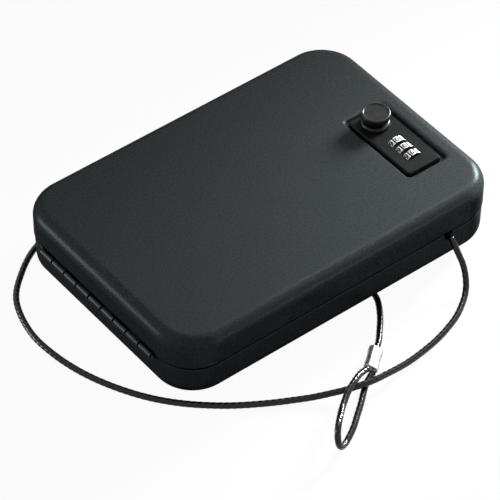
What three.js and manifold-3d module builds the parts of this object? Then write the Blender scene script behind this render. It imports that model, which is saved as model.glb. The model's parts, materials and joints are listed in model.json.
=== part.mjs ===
// Portable car safe: a shallow sheet-steel case with a full-width lid on a piano hinge,
// a three-dial combination lock with a turning knob, and a tethering cable that leaves
// the case through a notch at the seam.
//
// Millimetres, +Z up. The object stands on its rubber feet at z = 0, and the origin lies
// under the middle of its footprint, which includes the hinge barrel. +X points from the
// hinge to the lock, and -Y is the long side with the cable notch.

import * as THREE from 'three';
import { mergeVertices } from 'three/addons/utils/BufferGeometryUtils.js';
import Module from 'manifold-3d';

// Case
const CASE_LENGTH = 241;
const CASE_WIDTH = 166.5;
const CASE_HEIGHT = 44.5;
const SEAM_HEIGHT = 22.5;
const CORNER_RADIUS = 26.5;
const SHEET = 1.5;
const LID_BEND = 8.5;
const BASE_BEND = 7;
const SEAM_GAP = 1.8;
const BASE_INSET = 0.5;
const BASE_TAPER = 0.4;
const LIP_RISE = 4;
const LIP_ROOT = 4;
const LIP_THICKNESS = 1.4;
const LIP_CLEARANCE = 0.4;

// Feet and linings
const FOOT_HEIGHT = 5;
const FOOT_DIAMETER = 14;
const FOOT_INSET = 24;
const FOOT_EDGE = 1.6;
const FOAM_THICKNESS = 4;
const FOAM_EDGE_GAP = 4.5;
const LID_FOAM_LOCK_GAP = 7;
const FOAM_POST_GAP = 1.5;

// Hinge
const HINGE_LENGTH = 110;
const HINGE_KNUCKLES = 9;
const HINGE_STANDOFF = 1.45;
const HINGE_BARREL = 3.8;
const HINGE_GAUGE = 0.9;
const HINGE_LEAF_ABOVE_BEND = 2;
const HINGE_PIN = 1.6;
const HINGE_PIN_OVERHANG = 1.2;
const HINGE_PIN_HEAD = 0.5;
const KNUCKLE_GAP = 1.2;
const HINGE_SLOT_GAP = 1;
const HINGE_SLOT_RISE = 0.7;
const CURL_END_ANGLE = THREE.MathUtils.degToRad(-20);

// Lock plate and its stamped recess in the lid
const LOCK_FROM_FRONT = 30.5;
const KNOB_Y = 0;
const PLATE_BEYOND_KNOB = 11.6;
const PLATE_BEYOND_HOUSING = 8.15;
const PLATE_WIDTH = 25.8;
const PLATE_THICKNESS = 2.8;
const PLATE_CORNER = 2;
const PLATE_BEVEL = 0.5;
const RECESS_DEPTH = 2.4;
const RECESS_FLOOR_MARGIN = 1.4;
const RECESS_BEND_HINGE_SIDE = 1.4;
const RECESS_BEND_FRONT_SIDE = 4.9;
const RECESS_BEND_NEAR_SIDE = 2.2;
const RECESS_BEND_FAR_SIDE = 4;
const RECESS_CORNER = 3;
const RECESS_CORNER_GROWTH = 2;

// Lock housing and what closes and holds it
const HOUSING_WIDTH = 21.6;
const HOUSING_DEPTH = 15.9;
const HOUSING_WALL = 1.4;
const COVER_THICKNESS = 1.2;
const COVER_CORNER = 1.2;
const BOSS_RADIUS = 1.8;
const BOSS_NEAR_INSET = 3.3;
const BOSS_FAR_INSET = 2.4;
const MOUNT_SCREW_RADIUS = 1.1;
const MOUNT_SCREW_HEAD_RADIUS = 2.6;
const COVER_SCREW_RADIUS = 0.9;
const COVER_SCREW_HEAD_RADIUS = 2.2;
const COVER_SCREW_SPREAD = 14.8;
const COVER_SCREW_FROM_KNOB = 10.5;
const SCREW_HEAD_HEIGHT = 1.3;
const SCREW_DEPTH = 6;

// Dials
const DIAL_COUNT = 3;
const DIAL_PITCH = 7.2;
const DIAL_FACES = 10;
const DIAL_RADIUS = 7.5;
const DIAL_WIDTH = 4.9;
const DIAL_PROUD = 1.9;
const DIAL_GROOVE = 0.6;
const DIAL_CROWN = 0.05;
const DIAL_BORE_RADIUS = 2.6;
const DIALS_FROM_KNOB = 27.6;
const CLUTCH_FLANGE_RADIUS = 3.2;
const CLUTCH_FLANGE_THICKNESS = 1;
const CLUTCH_GATE = 1.6;
const AXLE_RADIUS = 1.2;
const AXLE_SEAT = 2.5;
const DIAL_ROOF = 2;
const SPRING_GAUGE = 0.35;
const SPRING_FINGER_WIDTH = 3.4;
const SPRING_STRIP_HEIGHT = 2.5;
const SPRING_BEND_HEIGHT = 3;
const SPRING_LEAD = 1.5;

// Knob, spindle and latch cam
const KNOB_RADIUS = 9.3;
const KNOB_HEIGHT = 9.6;
const KNOB_CAP_HEIGHT = 4.4;
const KNOB_STEM_RADIUS = 6.8;
const KNOB_DISH_RADIUS = 7.6;
const KNOB_DISH_DEPTH = 0.6;
const KNOB_DISH_EDGE = 0.2;
const KNOB_RIM_ROUND = 0.8;
const KNOB_CAP_ROUND = 1.8;
const KNOB_FILLET = 1;
const KNOB_CROWN = 1.6;
const BEZEL_HEIGHT = 2.6;
const BEZEL_ROUND = 1.2;
const SPINDLE_RADIUS = 3;
const SPINDLE_WALL = 2.2;
const SPINDLE_SQUARE = 4.2;
const SPINDLE_THREAD_RADIUS = 1.9;
const SPINDLE_COLLAR_RADIUS = 4.4;
const SPINDLE_END = 1.2;
const CAM_REACH = 24.5;
const CAM_WIDTH = 11;
const CAM_HUB_RADIUS = 6.8;
const CAM_THICKNESS = 2;
const CAM_TAPER = 4;
const CAM_TIP_INSET = 2.2;
const CAM_BELOW_COVER = 2.2;
const WASHER_RADIUS = 5.5;
const WASHER_THICKNESS = 0.6;
const NUT_FLATS = 8;
const NUT_HEIGHT = 2.7;

// Keeper that the cam hooks under
const KEEPER_WIDTH = 22;
const KEEPER_OVERLAP = 7.5;
const KEEPER_GAUGE = 1.5;
const KEEPER_CAM_GAP = 0.5;
const KEEPER_WELD_HEIGHT = 6.5;
const KEEPER_CORNER = 3;

// Reset slide behind the dials
const RESET_TRAVEL = 4;
const RESET_PLATE_LENGTH = 12.5;
const RESET_PLATE_THICKNESS = 0.8;
const RESET_TAB_WIDTH = 2;
const RESET_TAB_DROP = 2;

// Cable
const CABLE_DIAMETER = 4;
const NOTCH_RADIUS = 2.9;
const NOTCH_DROP = 3.2;
const NOTCH_FROM_LOCK = 10.4;
const POST_RADIUS = 4;
const POST_HEAD_RADIUS = 6.5;
const POST_HEIGHT = 14;
const POST_RIVET_RADIUS = 2;
const POST_RIVET_HEAD_RADIUS = 3.4;
const POST_RIVET_HEAD_HEIGHT = 0.7;
const POST_RIVET_EDGE = 0.6;
const POST_HEAD_HEIGHT = 2;
const POST_HEAD_EDGE = 0.8;
const POST_FROM_LOCK = 8;
const POST_FROM_KNOB = 13;
const FERRULE_LENGTH = 16;
const FERRULE_WIDTH = 9.2;
const FERRULE_THICKNESS = 6;
const FERRULE_CREST = 5.6;
const FERRULE_SIDE = 2.2;
const FERRULE_END_EDGE = 0.5;

// Clearance between assembled pieces, and between ones that turn or slide
const FIT = 0.3;
const RUNNING_FIT = 0.4;

// Places worked out from the sizes above, in the case's own frame
const underside = FOOT_HEIGHT;
const seam = underside + SEAM_HEIGHT;
const lidTop = underside + CASE_HEIGHT;
const hingeX = -CASE_LENGTH / 2 - HINGE_STANDOFF;
const hingeOverhang = HINGE_STANDOFF + HINGE_BARREL / 2;
const lidLeafHeight = lidTop - LID_BEND - seam;
const baseLeafHeight = seam - underside - BASE_BEND - HINGE_LEAF_ABOVE_BEND;
const lockX = CASE_LENGTH / 2 - LOCK_FROM_FRONT;
const plateTop = lidTop - RECESS_DEPTH + FIT / 2 + PLATE_THICKNESS;
const plateBottom = plateTop - PLATE_THICKNESS;
const recessFloor = lidTop - RECESS_DEPTH;
const dialZ = plateTop - DIAL_RADIUS + DIAL_PROUD;
const dialYs = Array.from(
  { length: DIAL_COUNT },
  (_, index) => KNOB_Y - DIALS_FROM_KNOB - (index - (DIAL_COUNT - 1) / 2) * DIAL_PITCH,
);
const cavityNear = Math.min(...dialYs) - DIAL_WIDTH / 2 - 2 * RUNNING_FIT;
const cavityFar = Math.max(...dialYs) + DIAL_WIDTH / 2 + 2 * RUNNING_FIT + CLUTCH_FLANGE_THICKNESS;
const housingNear = cavityNear - HOUSING_WALL;
const plateNear = housingNear - PLATE_BEYOND_HOUSING;
const plateFar = KNOB_Y + PLATE_BEYOND_KNOB;
const plateLength = plateFar - plateNear;
const plateCentreY = (plateFar + plateNear) / 2;
const housingFar = KNOB_Y + SPINDLE_RADIUS + SPINDLE_WALL;
const housingBottom = plateTop - HOUSING_DEPTH;
const cavityWidth = HOUSING_WIDTH - 2 * HOUSING_WALL;
const coverTop = housingBottom - FIT;
const coverBottom = coverTop - COVER_THICKNESS;
const camTop = coverBottom - CAM_BELOW_COVER;
const camBottom = camTop - CAM_THICKNESS;
const notchX = lockX - NOTCH_FROM_LOCK;
const baseInnerLength = CASE_LENGTH - 2 * (BASE_INSET + SHEET);
const baseInnerWidth = CASE_WIDTH - 2 * (BASE_INSET + SHEET);
const lipLength = CASE_LENGTH - 2 * (SHEET + LIP_CLEARANCE);

// Looks
const paint = new THREE.MeshStandardMaterial({ color: 0x303335, roughness: 0.72, metalness: 0.1 });
const lockPaint = new THREE.MeshStandardMaterial({ color: 0x2c2f30, roughness: 0.55, metalness: 0.3 });
const knobPaint = new THREE.MeshStandardMaterial({ color: 0x262829, roughness: 0.35, metalness: 0.4 });
const hingePaint = new THREE.MeshStandardMaterial({ color: 0x2a2c2d, roughness: 0.45, metalness: 0.5 });
const dialWhite = new THREE.MeshStandardMaterial({ color: 0xe6e6e2, roughness: 0.5, metalness: 0 });
const brass = new THREE.MeshStandardMaterial({ color: 0xb08d4c, roughness: 0.4, metalness: 1 });
const steel = new THREE.MeshStandardMaterial({ color: 0xa8aaac, roughness: 0.35, metalness: 1 });
const aluminium = new THREE.MeshStandardMaterial({ color: 0xc4c6c8, roughness: 0.3, metalness: 1 });
const foam = new THREE.MeshStandardMaterial({ color: 0x1c1d1f, roughness: 0.95, metalness: 0 });
const rubber = new THREE.MeshStandardMaterial({ color: 0x17181a, roughness: 0.85, metalness: 0 });
const vinyl = new THREE.MeshStandardMaterial({ color: 0x101112, roughness: 0.2, metalness: 0 });

// Solids: geometry in, geometry out, with the booleans in between
const wasm = await Module();
wasm.setup();

function toSolid(geometry) {
  const bare = geometry.clone();
  bare.deleteAttribute('normal');
  bare.deleteAttribute('uv');
  const merged = mergeVertices(bare, 1e-4);
  const corners = merged.index.array;
  const kept = [];
  for (let at = 0; at < corners.length; at += 3) {
    const [a, b, c] = [corners[at], corners[at + 1], corners[at + 2]];
    if (a !== b && b !== c && c !== a) kept.push(a, b, c);
  }
  const mesh = new wasm.Mesh({
    numProp: 3,
    vertProperties: new Float32Array(merged.getAttribute('position').array),
    triVerts: new Uint32Array(kept),
  });
  return new wasm.Manifold(mesh);
}

function toGeometry(solid) {
  const mesh = solid.getMesh();
  const geometry = new THREE.BufferGeometry();
  geometry.setAttribute('position', new THREE.BufferAttribute(mesh.vertProperties, 3));
  geometry.setIndex(new THREE.BufferAttribute(mesh.triVerts, 1));
  geometry.computeVertexNormals();
  return geometry;
}

function join(first, ...others) {
  return others.reduce((solid, other) => solid.add(other), first);
}

function cut(first, ...tools) {
  return tools.reduce((solid, tool) => solid.subtract(tool), first);
}

function piece(name, solid, material) {
  const mesh = new THREE.Mesh(toGeometry(solid), material);
  mesh.name = name;
  return mesh;
}

// A block between two corners
function block(low, high) {
  const size = high.map((value, axis) => value - low[axis]);
  const centre = high.map((value, axis) => (value + low[axis]) / 2);
  return toSolid(new THREE.BoxGeometry(...size).translate(...centre));
}

// A round bar standing on z = low, about the line x, y
function bar(x, y, radius, low, high, sides = 20) {
  const geometry = new THREE.CylinderGeometry(radius, radius, high - low, sides);
  return toSolid(geometry.rotateX(Math.PI / 2).translate(x, y, (low + high) / 2));
}

// A round bar along Y, about the line x, z
function barAlongY(x, z, radius, low, high, sides = 16) {
  const geometry = new THREE.CylinderGeometry(radius, radius, high - low, sides);
  return toSolid(geometry.translate(0, (low + high) / 2, 0).translate(x, 0, z));
}

// A profile of [radius, z] pairs turned about the line x, y
function turned(x, y, profile, sides = 32) {
  const points = profile.map(([radius, z]) => new THREE.Vector2(radius, z));
  const geometry = new THREE.LatheGeometry(points, sides).rotateX(Math.PI / 2);
  return toSolid(geometry.translate(x, y, 0));
}

// A flat shape raised from z = low to z = high
function raised(shape, low, high, curveSegments = 4) {
  const options = { depth: high - low, bevelEnabled: false, curveSegments };
  return toSolid(new THREE.ExtrudeGeometry(shape, options).translate(0, 0, low));
}

// A shape drawn in X and Z, drawn out along Y from low to high
function drawnAlongY(shape, low, high, curveSegments = 4) {
  const options = { depth: high - low, bevelEnabled: false, curveSegments };
  const geometry = new THREE.ExtrudeGeometry(shape, options);
  return toSolid(geometry.rotateX(Math.PI / 2).translate(0, high, 0));
}

function roundedRectangle(centreX, centreY, length, width, radius) {
  const shape = new THREE.Shape();
  const right = centreX + length / 2 - radius;
  const left = centreX - length / 2 + radius;
  const far = centreY + width / 2 - radius;
  const near = centreY - width / 2 + radius;
  shape.absarc(right, far, radius, 0, Math.PI / 2);
  shape.absarc(left, far, radius, Math.PI / 2, Math.PI);
  shape.absarc(left, near, radius, Math.PI, 1.5 * Math.PI);
  shape.absarc(right, near, radius, 1.5 * Math.PI, 2 * Math.PI);
  return shape;
}

// A solid through rings of one point count, each ring a flat outline at its own height
function loft(rings) {
  const count = rings[0].outline.length;
  const positions = [];
  const triangles = [];
  for (const { outline, z } of rings) {
    for (const point of outline) positions.push(point.x, point.y, z);
  }
  for (let ring = 0; ring < rings.length - 1; ring += 1) {
    for (let side = 0; side < count; side += 1) {
      const next = (side + 1) % count;
      const low = ring * count;
      const high = low + count;
      triangles.push(low + side, low + next, high + next);
      triangles.push(low + side, high + next, high + side);
    }
  }
  const last = (rings.length - 1) * count;
  for (const [a, b, c] of THREE.ShapeUtils.triangulateShape(rings[0].outline, [])) {
    triangles.push(c, b, a);
  }
  for (const [a, b, c] of THREE.ShapeUtils.triangulateShape(rings.at(-1).outline, [])) {
    triangles.push(last + a, last + b, last + c);
  }
  const geometry = new THREE.BufferGeometry();
  geometry.setAttribute('position', new THREE.Float32BufferAttribute(positions, 3));
  geometry.setIndex(triangles);
  return toSolid(geometry);
}

// The outline of the case in plan, drawn in by an inset that its corners follow
function caseOutline(inset) {
  const length = CASE_LENGTH - 2 * inset;
  const width = CASE_WIDTH - 2 * inset;
  const shape = roundedRectangle(0, 0, length, width, CORNER_RADIUS - inset);
  return outlineOf(shape, 5);
}

// A shape's outline without the points that its arcs share
function outlineOf(shape, divisions) {
  const points = shape.getPoints(divisions);
  const apart = (point, index) => point.distanceTo(points.at(index - 1)) > 1e-6;
  return points.filter(apart);
}

// The solid outside of a drawn pan: a wall from its rim, a bend and a flat face.
// The face lies above the rim for a lid and below it for a tray.
function panSolid(inset, taper, bend, rim, face) {
  const steps = 5;
  const side = Math.sign(face - rim);
  const bendStart = face - side * bend;
  const drift = (z) => (taper * Math.abs(z - rim)) / Math.abs(face - rim);
  const rings = [{ outline: caseOutline(inset), z: rim }];
  for (let step = 0; step <= steps; step += 1) {
    const angle = ((Math.PI / 2) * step) / steps;
    const z = bendStart + side * bend * Math.sin(angle);
    const drawnIn = inset + drift(bendStart) + bend * (1 - Math.cos(angle));
    rings.push({ outline: caseOutline(drawnIn), z });
  }
  if (side < 0) rings.reverse();
  return loft(rings);
}

// A drawn pan of even sheet, open at its rim
function pan(inset, taper, bend, rim, face) {
  const side = Math.sign(face - rim);
  const outside = panSolid(inset, taper, bend, rim, face);
  const mouth = rim - side * SHEET;
  const inside = panSolid(inset + SHEET, taper, bend - SHEET, mouth, face - side * SHEET);
  return cut(outside, inside);
}

// The recess stamped into the lid for the lock plate: an S-bend from its floor to the lid's
// top that is steep towards the hinge and easy towards the front. Grown and lowered by the
// sheet, the same form is the underside of the stamping.
function recessSolid(grow, drop) {
  const steps = 6;
  const floorHalfX = PLATE_WIDTH / 2 + RECESS_FLOOR_MARGIN + grow;
  const floorHalfY = plateLength / 2 + RECESS_FLOOR_MARGIN + grow;
  const rings = [];
  for (let step = 0; step <= steps; step += 1) {
    const run = step / steps;
    const rise = (1 - Math.cos(Math.PI * run)) / 2;
    const hingeSide = floorHalfX + RECESS_BEND_HINGE_SIDE * run;
    const frontSide = floorHalfX + RECESS_BEND_FRONT_SIDE * run;
    const nearSide = floorHalfY + RECESS_BEND_NEAR_SIDE * run;
    const farSide = floorHalfY + RECESS_BEND_FAR_SIDE * run;
    const shape = roundedRectangle(
      lockX + (frontSide - hingeSide) / 2,
      plateCentreY + (farSide - nearSide) / 2,
      hingeSide + frontSide,
      nearSide + farSide,
      RECESS_CORNER + grow + RECESS_CORNER_GROWTH * run,
    );
    rings.push({ outline: outlineOf(shape, 2), z: recessFloor - drop + RECESS_DEPTH * rise });
  }
  const top = rings.at(-1);
  rings.push({ outline: top.outline, z: top.z + 1 });
  return loft(rings);
}

// The notch in the tray's near wall and lip that the cable lies in: a round bottom, and
// straight sides up to the open rim
function notchTool() {
  const z = seam - NOTCH_DROP;
  const [far, near] = [-CASE_WIDTH / 4, -CASE_WIDTH];
  return join(
    barAlongY(notchX, z, NOTCH_RADIUS, near, far, 24),
    block([notchX - NOTCH_RADIUS, near, z], [notchX + NOTCH_RADIUS, far, seam + LIP_RISE + 1]),
  );
}

// The slot along the hinge that its barrel lies in
function hingeSlotTool(low, high) {
  const half = HINGE_LENGTH / 2 + HINGE_SLOT_GAP;
  const wallX = -CASE_LENGTH / 2;
  return block([wallX - 1, -half, low], [wallX + BASE_INSET + SHEET + 1, half, high]);
}

function makeLidShell() {
  const rim = seam + SEAM_GAP / 2;
  const shell = pan(0, 0, LID_BEND, rim, lidTop);
  const belowTop = block([0, -CASE_WIDTH, seam], [CASE_LENGTH, CASE_WIDTH, lidTop - SHEET / 2]);
  const stamping = recessSolid(SHEET, SHEET).intersect(belowTop);
  const opening = FIT;
  const housingHole = block(
    [lockX - HOUSING_WIDTH / 2 - opening, housingNear - opening, seam],
    [lockX + HOUSING_WIDTH / 2 + opening, housingFar + opening, lidTop],
  );
  const bossHoles = bossYs().map((y) => bar(lockX, y, BOSS_RADIUS + FIT, seam, lidTop, 16));
  return cut(
    join(shell, stamping),
    recessSolid(0, 0),
    housingHole,
    ...bossHoles,
    hingeSlotTool(seam - 1, seam + HINGE_BARREL / 2 + HINGE_SLOT_RISE),
  );
}

function makeBaseTray() {
  const rim = seam - SEAM_GAP / 2;
  const tray = pan(BASE_INSET, BASE_TAPER, BASE_BEND, rim, underside);
  const lipInset = SHEET + LIP_CLEARANCE;
  const lip = cut(
    loft([
      { outline: caseOutline(lipInset), z: seam - LIP_ROOT },
      { outline: caseOutline(lipInset), z: seam + LIP_RISE },
    ]),
    loft([
      { outline: caseOutline(lipInset + LIP_THICKNESS), z: seam - LIP_ROOT - 1 },
      { outline: caseOutline(lipInset + LIP_THICKNESS), z: seam + LIP_RISE + 1 },
    ]),
  );
  const hingeSide = block(
    [-CASE_LENGTH, -HINGE_LENGTH / 2 - HINGE_SLOT_GAP, seam - LIP_ROOT - 1],
    [-CASE_LENGTH / 2 + CORNER_RADIUS / 2, HINGE_LENGTH / 2 + HINGE_SLOT_GAP, seam + LIP_RISE + 1],
  );
  const post = postPlace();
  return cut(
    join(tray, cut(lip, hingeSide)),
    notchTool(),
    hingeSlotTool(seam - HINGE_BARREL / 2 - FIT, seam + 1),
    bar(post.x, post.y, POST_RIVET_RADIUS + FIT, underside - 1, underside + SHEET + 1, 16),
  );
}

function bossYs() {
  return [plateNear + BOSS_NEAR_INSET, plateFar - BOSS_FAR_INSET];
}

function postPlace() {
  return { x: lockX + POST_FROM_LOCK, y: KNOB_Y + POST_FROM_KNOB };
}

// One leaf of the piano hinge. Its knuckles are curled from the same sheet as the leaf: a
// web leaves the leaf, wraps round the pin and stops just short of itself.
function makeHingeLeaf(side, leafOutside, height, knuckles) {
  const outer = HINGE_BARREL / 2;
  const inner = outer - HINGE_GAUGE;
  const leafInside = leafOutside + HINGE_GAUGE;
  const curl = new THREE.Shape();
  curl.moveTo(0, -outer);
  curl.lineTo(leafOutside, -outer);
  curl.lineTo(leafOutside, -outer - 2 * HINGE_GAUGE);
  curl.lineTo(leafInside, -outer - 2 * HINGE_GAUGE);
  curl.lineTo(leafInside, -inner);
  curl.lineTo(0, -inner);
  curl.absarc(0, 0, inner, -Math.PI / 2, CURL_END_ANGLE, true);
  curl.lineTo(outer * Math.cos(CURL_END_ANGLE), outer * Math.sin(CURL_END_ANGLE));
  curl.absarc(0, 0, outer, CURL_END_ANGLE, 1.5 * Math.PI, false);
  const pitch = HINGE_LENGTH / HINGE_KNUCKLES;
  let leaf = block(
    [leafOutside, -HINGE_LENGTH / 2, -height],
    [leafInside, HINGE_LENGTH / 2, -outer - HINGE_GAUGE / 2],
  );
  for (const knuckle of knuckles) {
    const low = -HINGE_LENGTH / 2 + knuckle * pitch + KNUCKLE_GAP / 2;
    leaf = join(leaf, drawnAlongY(curl, low, low + pitch - KNUCKLE_GAP, 7));
  }
  const turn = side > 0 ? leaf.mirror([0, 0, 1]) : leaf;
  return turn.translate([hingeX, 0, seam]);
}

function knucklesFrom(first) {
  const list = [];
  for (let knuckle = first; knuckle < HINGE_KNUCKLES; knuckle += 2) list.push(knuckle);
  return list;
}

function makeHingePin() {
  const radius = HINGE_PIN / 2;
  const half = HINGE_LENGTH / 2 + HINGE_PIN_OVERHANG;
  const head = HINGE_PIN_OVERHANG - FIT;
  const profile = [
    [0, -half],
    [radius, -half],
    [radius + HINGE_PIN_HEAD, -half + head / 3],
    [radius + HINGE_PIN_HEAD, -half + head],
    [radius, -half + head],
    [radius, half - head],
    [radius + HINGE_PIN_HEAD, half - head],
    [radius + HINGE_PIN_HEAD, half - head / 3],
    [radius, half],
    [0, half],
  ];
  const points = profile.map(([r, y]) => new THREE.Vector2(r, y));
  return toSolid(new THREE.LatheGeometry(points, 12).translate(hingeX, 0, seam));
}

function makeFoot(x, y) {
  const radius = FOOT_DIAMETER / 2;
  const top = FOOT_HEIGHT - FIT;
  const profile = [
    [0, 0],
    [radius - FOOT_EDGE, 0],
    [radius - FOOT_EDGE * 0.45, FOOT_EDGE * 0.2],
    [radius - FOOT_EDGE * 0.12, FOOT_EDGE * 0.7],
    [radius, top],
    [0, top],
  ];
  return turned(x, y, profile, 20);
}

function makeBaseFoam() {
  const length = baseInnerLength - 2 * (BASE_TAPER + FOAM_EDGE_GAP);
  const width = baseInnerWidth - 2 * (BASE_TAPER + FOAM_EDGE_GAP);
  const corner = CORNER_RADIUS - SHEET - FOAM_EDGE_GAP;
  const low = underside + SHEET + FIT;
  const sheet = raised(roundedRectangle(0, 0, length, width, corner), low, low + FOAM_THICKNESS);
  const post = postPlace();
  const hole = POST_HEAD_RADIUS + FOAM_POST_GAP;
  return cut(sheet, bar(post.x, post.y, hole, low - 1, low + FOAM_THICKNESS + 1));
}

// The lid's lining stops short of the lock
function makeLidFoam() {
  const hingeEnd = -CASE_LENGTH / 2 + SHEET + LID_BEND;
  const lockEnd = lockX - PLATE_WIDTH / 2 - RECESS_FLOOR_MARGIN - LID_FOAM_LOCK_GAP;
  const width = CASE_WIDTH - 2 * (SHEET + LID_BEND);
  const high = lidTop - SHEET - FIT;
  const centre = (hingeEnd + lockEnd) / 2;
  const shape = roundedRectangle(centre, 0, lockEnd - hingeEnd, width, CORNER_RADIUS - LID_BEND);
  return raised(shape, high - FOAM_THICKNESS, high);
}

// The cast lock body: a bevelled face plate with the dial windows, a box below it that the
// dials turn in, the knob's bearing and two bosses that locate it in the lid.
function makeLockHousing() {
  const plate = loft([
    { outline: plateOutline(0), z: plateBottom },
    { outline: plateOutline(0), z: plateTop - PLATE_BEVEL },
    { outline: plateOutline(PLATE_BEVEL), z: plateTop },
  ]);
  const body = block(
    [lockX - HOUSING_WIDTH / 2, housingNear, housingBottom],
    [lockX + HOUSING_WIDTH / 2, housingFar, plateBottom + PLATE_THICKNESS / 2],
  );
  const bossBottom = recessFloor - SHEET + FIT;
  const bosses = bossYs().map((y) => bar(lockX, y, BOSS_RADIUS, bossBottom, plateBottom + 1, 16));
  const screwHoles = bossYs().map((y) =>
    bar(lockX, y, MOUNT_SCREW_RADIUS + FIT, bossBottom - 1, plateTop - 1, 12),
  );
  const cavity = block(
    [lockX - cavityWidth / 2, cavityNear, housingBottom - 1],
    [lockX + cavityWidth / 2, cavityFar, plateTop - DIAL_ROOF],
  );
  const windows = dialYs.map((y) => {
    const half = DIAL_WIDTH / 2 + FIT;
    return barAlongY(lockX, dialZ, DIAL_RADIUS + RUNNING_FIT, y - half, y + half, 28);
  });
  const coverScrewHoles = coverScrewPlaces().map(([x, y]) =>
    bar(x, y, COVER_SCREW_RADIUS + FIT, housingBottom - 1, housingBottom + SCREW_DEPTH + FIT, 12),
  );
  return cut(
    join(plate, body, ...bosses),
    ...screwHoles,
    cavity,
    ...windows,
    ...coverScrewHoles,
    bar(lockX, KNOB_Y, SPINDLE_RADIUS + FIT, housingBottom - 1, plateTop + 1),
    barAlongY(lockX, dialZ, AXLE_RADIUS + FIT, housingNear - 1, cavityFar + AXLE_SEAT + FIT),
  );
}

function plateOutline(inset) {
  const shape = roundedRectangle(
    lockX,
    plateCentreY,
    PLATE_WIDTH - 2 * inset,
    plateLength - 2 * inset,
    PLATE_CORNER - inset / 2,
  );
  return outlineOf(shape, 4);
}

function coverScrewPlaces() {
  const y = KNOB_Y - COVER_SCREW_FROM_KNOB;
  return [-1, 1].map((side) => [lockX + (side * COVER_SCREW_SPREAD) / 2, y]);
}

function resetSlot() {
  const y = dialYs[Math.floor(DIAL_COUNT / 2)] - DIAL_PITCH / 2;
  const start = lockX - RESET_TRAVEL / 2;
  return { y, start };
}

function makeLockCover() {
  const length = housingFar - housingNear;
  const middle = (housingFar + housingNear) / 2;
  const shape = roundedRectangle(lockX, middle, HOUSING_WIDTH, length, COVER_CORNER);
  const slot = resetSlot();
  const half = RESET_TAB_WIDTH / 2 + FIT;
  return cut(
    raised(shape, coverBottom, coverTop, 3),
    bar(lockX, KNOB_Y, SPINDLE_RADIUS + FIT, coverBottom - 1, coverTop + 1),
    ...coverScrewPlaces().map(([x, y]) =>
      bar(x, y, COVER_SCREW_RADIUS + FIT, coverBottom - 1, coverTop + 1, 12),
    ),
    block(
      [slot.start - half, slot.y - half, coverBottom - 1],
      [slot.start + RESET_TRAVEL + half, slot.y + half, coverTop + 1],
    ),
  );
}

// A pan-head screw that points up, with a cross slot in its head
function screw(x, y, shankRadius, headRadius, headTop, shankTop) {
  const headBottom = headTop - SCREW_HEAD_HEIGHT;
  const profile = [
    [0, headBottom],
    [headRadius * 0.6, headBottom],
    [headRadius * 0.92, headBottom + SCREW_HEAD_HEIGHT * 0.35],
    [headRadius, headTop],
    [shankRadius, headTop],
    [shankRadius, shankTop - shankRadius / 2],
    [shankRadius / 2, shankTop],
    [0, shankTop],
  ];
  const arm = headRadius * 0.55;
  const thin = headRadius * 0.12;
  const depth = headBottom + SCREW_HEAD_HEIGHT / 2;
  return cut(
    turned(x, y, profile, 12),
    block([x - arm, y - thin, headBottom - 1], [x + arm, y + thin, depth]),
    block([x - thin, y - arm, headBottom - 1], [x + thin, y + arm, depth]),
  );
}

function makeMountScrew(y) {
  const headTop = recessFloor - SHEET - FIT;
  return screw(lockX, y, MOUNT_SCREW_RADIUS, MOUNT_SCREW_HEAD_RADIUS, headTop, plateTop - 1 - FIT);
}

function makeCoverScrew([x, y]) {
  const headTop = coverBottom - FIT;
  const shankTop = housingBottom + SCREW_DEPTH;
  return screw(x, y, COVER_SCREW_RADIUS, COVER_SCREW_HEAD_RADIUS, headTop, shankTop);
}

// A number wheel: as many faces as digits, parted by grooves that a thumb grips
function makeDialWheel(y) {
  const shape = new THREE.Shape();
  const step = (2 * Math.PI) / DIAL_FACES;
  const corners = [
    [0, DIAL_RADIUS - DIAL_GROOVE],
    [0.13, DIAL_RADIUS - DIAL_CROWN],
    [0.37, DIAL_RADIUS],
    [0.63, DIAL_RADIUS],
    [0.87, DIAL_RADIUS - DIAL_CROWN],
  ];
  for (let face = 0; face < DIAL_FACES; face += 1) {
    for (const [share, radius] of corners) {
      const angle = Math.PI / 2 + step * (face - 0.5 + share);
      const point = [lockX + radius * Math.cos(angle), dialZ + radius * Math.sin(angle)];
      if (face === 0 && share === 0) shape.moveTo(...point);
      else shape.lineTo(...point);
    }
  }
  const half = DIAL_WIDTH / 2;
  const wheel = drawnAlongY(shape, y - half, y + half);
  return cut(wheel, barAlongY(lockX, dialZ, DIAL_BORE_RADIUS, y - half - 1, y + half + 1, 20));
}

// The sleeve inside a wheel, with the gate that the lock's fence drops into
function makeDialClutch(y) {
  const outer = DIAL_BORE_RADIUS - FIT;
  const half = DIAL_WIDTH / 2;
  const flange = y + half + FIT;
  const sleeve = join(
    barAlongY(lockX, dialZ, outer, y - half, flange + CLUTCH_FLANGE_THICKNESS / 2),
    barAlongY(lockX, dialZ, CLUTCH_FLANGE_RADIUS, flange, flange + CLUTCH_FLANGE_THICKNESS),
  );
  const gate = block(
    [lockX - CLUTCH_FLANGE_RADIUS - 1, flange - 1, dialZ - CLUTCH_GATE / 2],
    [lockX - outer, flange + CLUTCH_FLANGE_THICKNESS + 1, dialZ + CLUTCH_GATE / 2],
  );
  const bore = barAlongY(lockX, dialZ, AXLE_RADIUS + FIT, y - DIAL_PITCH, y + DIAL_PITCH);
  return cut(sleeve, gate, bore);
}

function makeDialAxle() {
  return barAlongY(lockX, dialZ, AXLE_RADIUS, housingNear + FIT, cavityFar + AXLE_SEAT);
}

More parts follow.
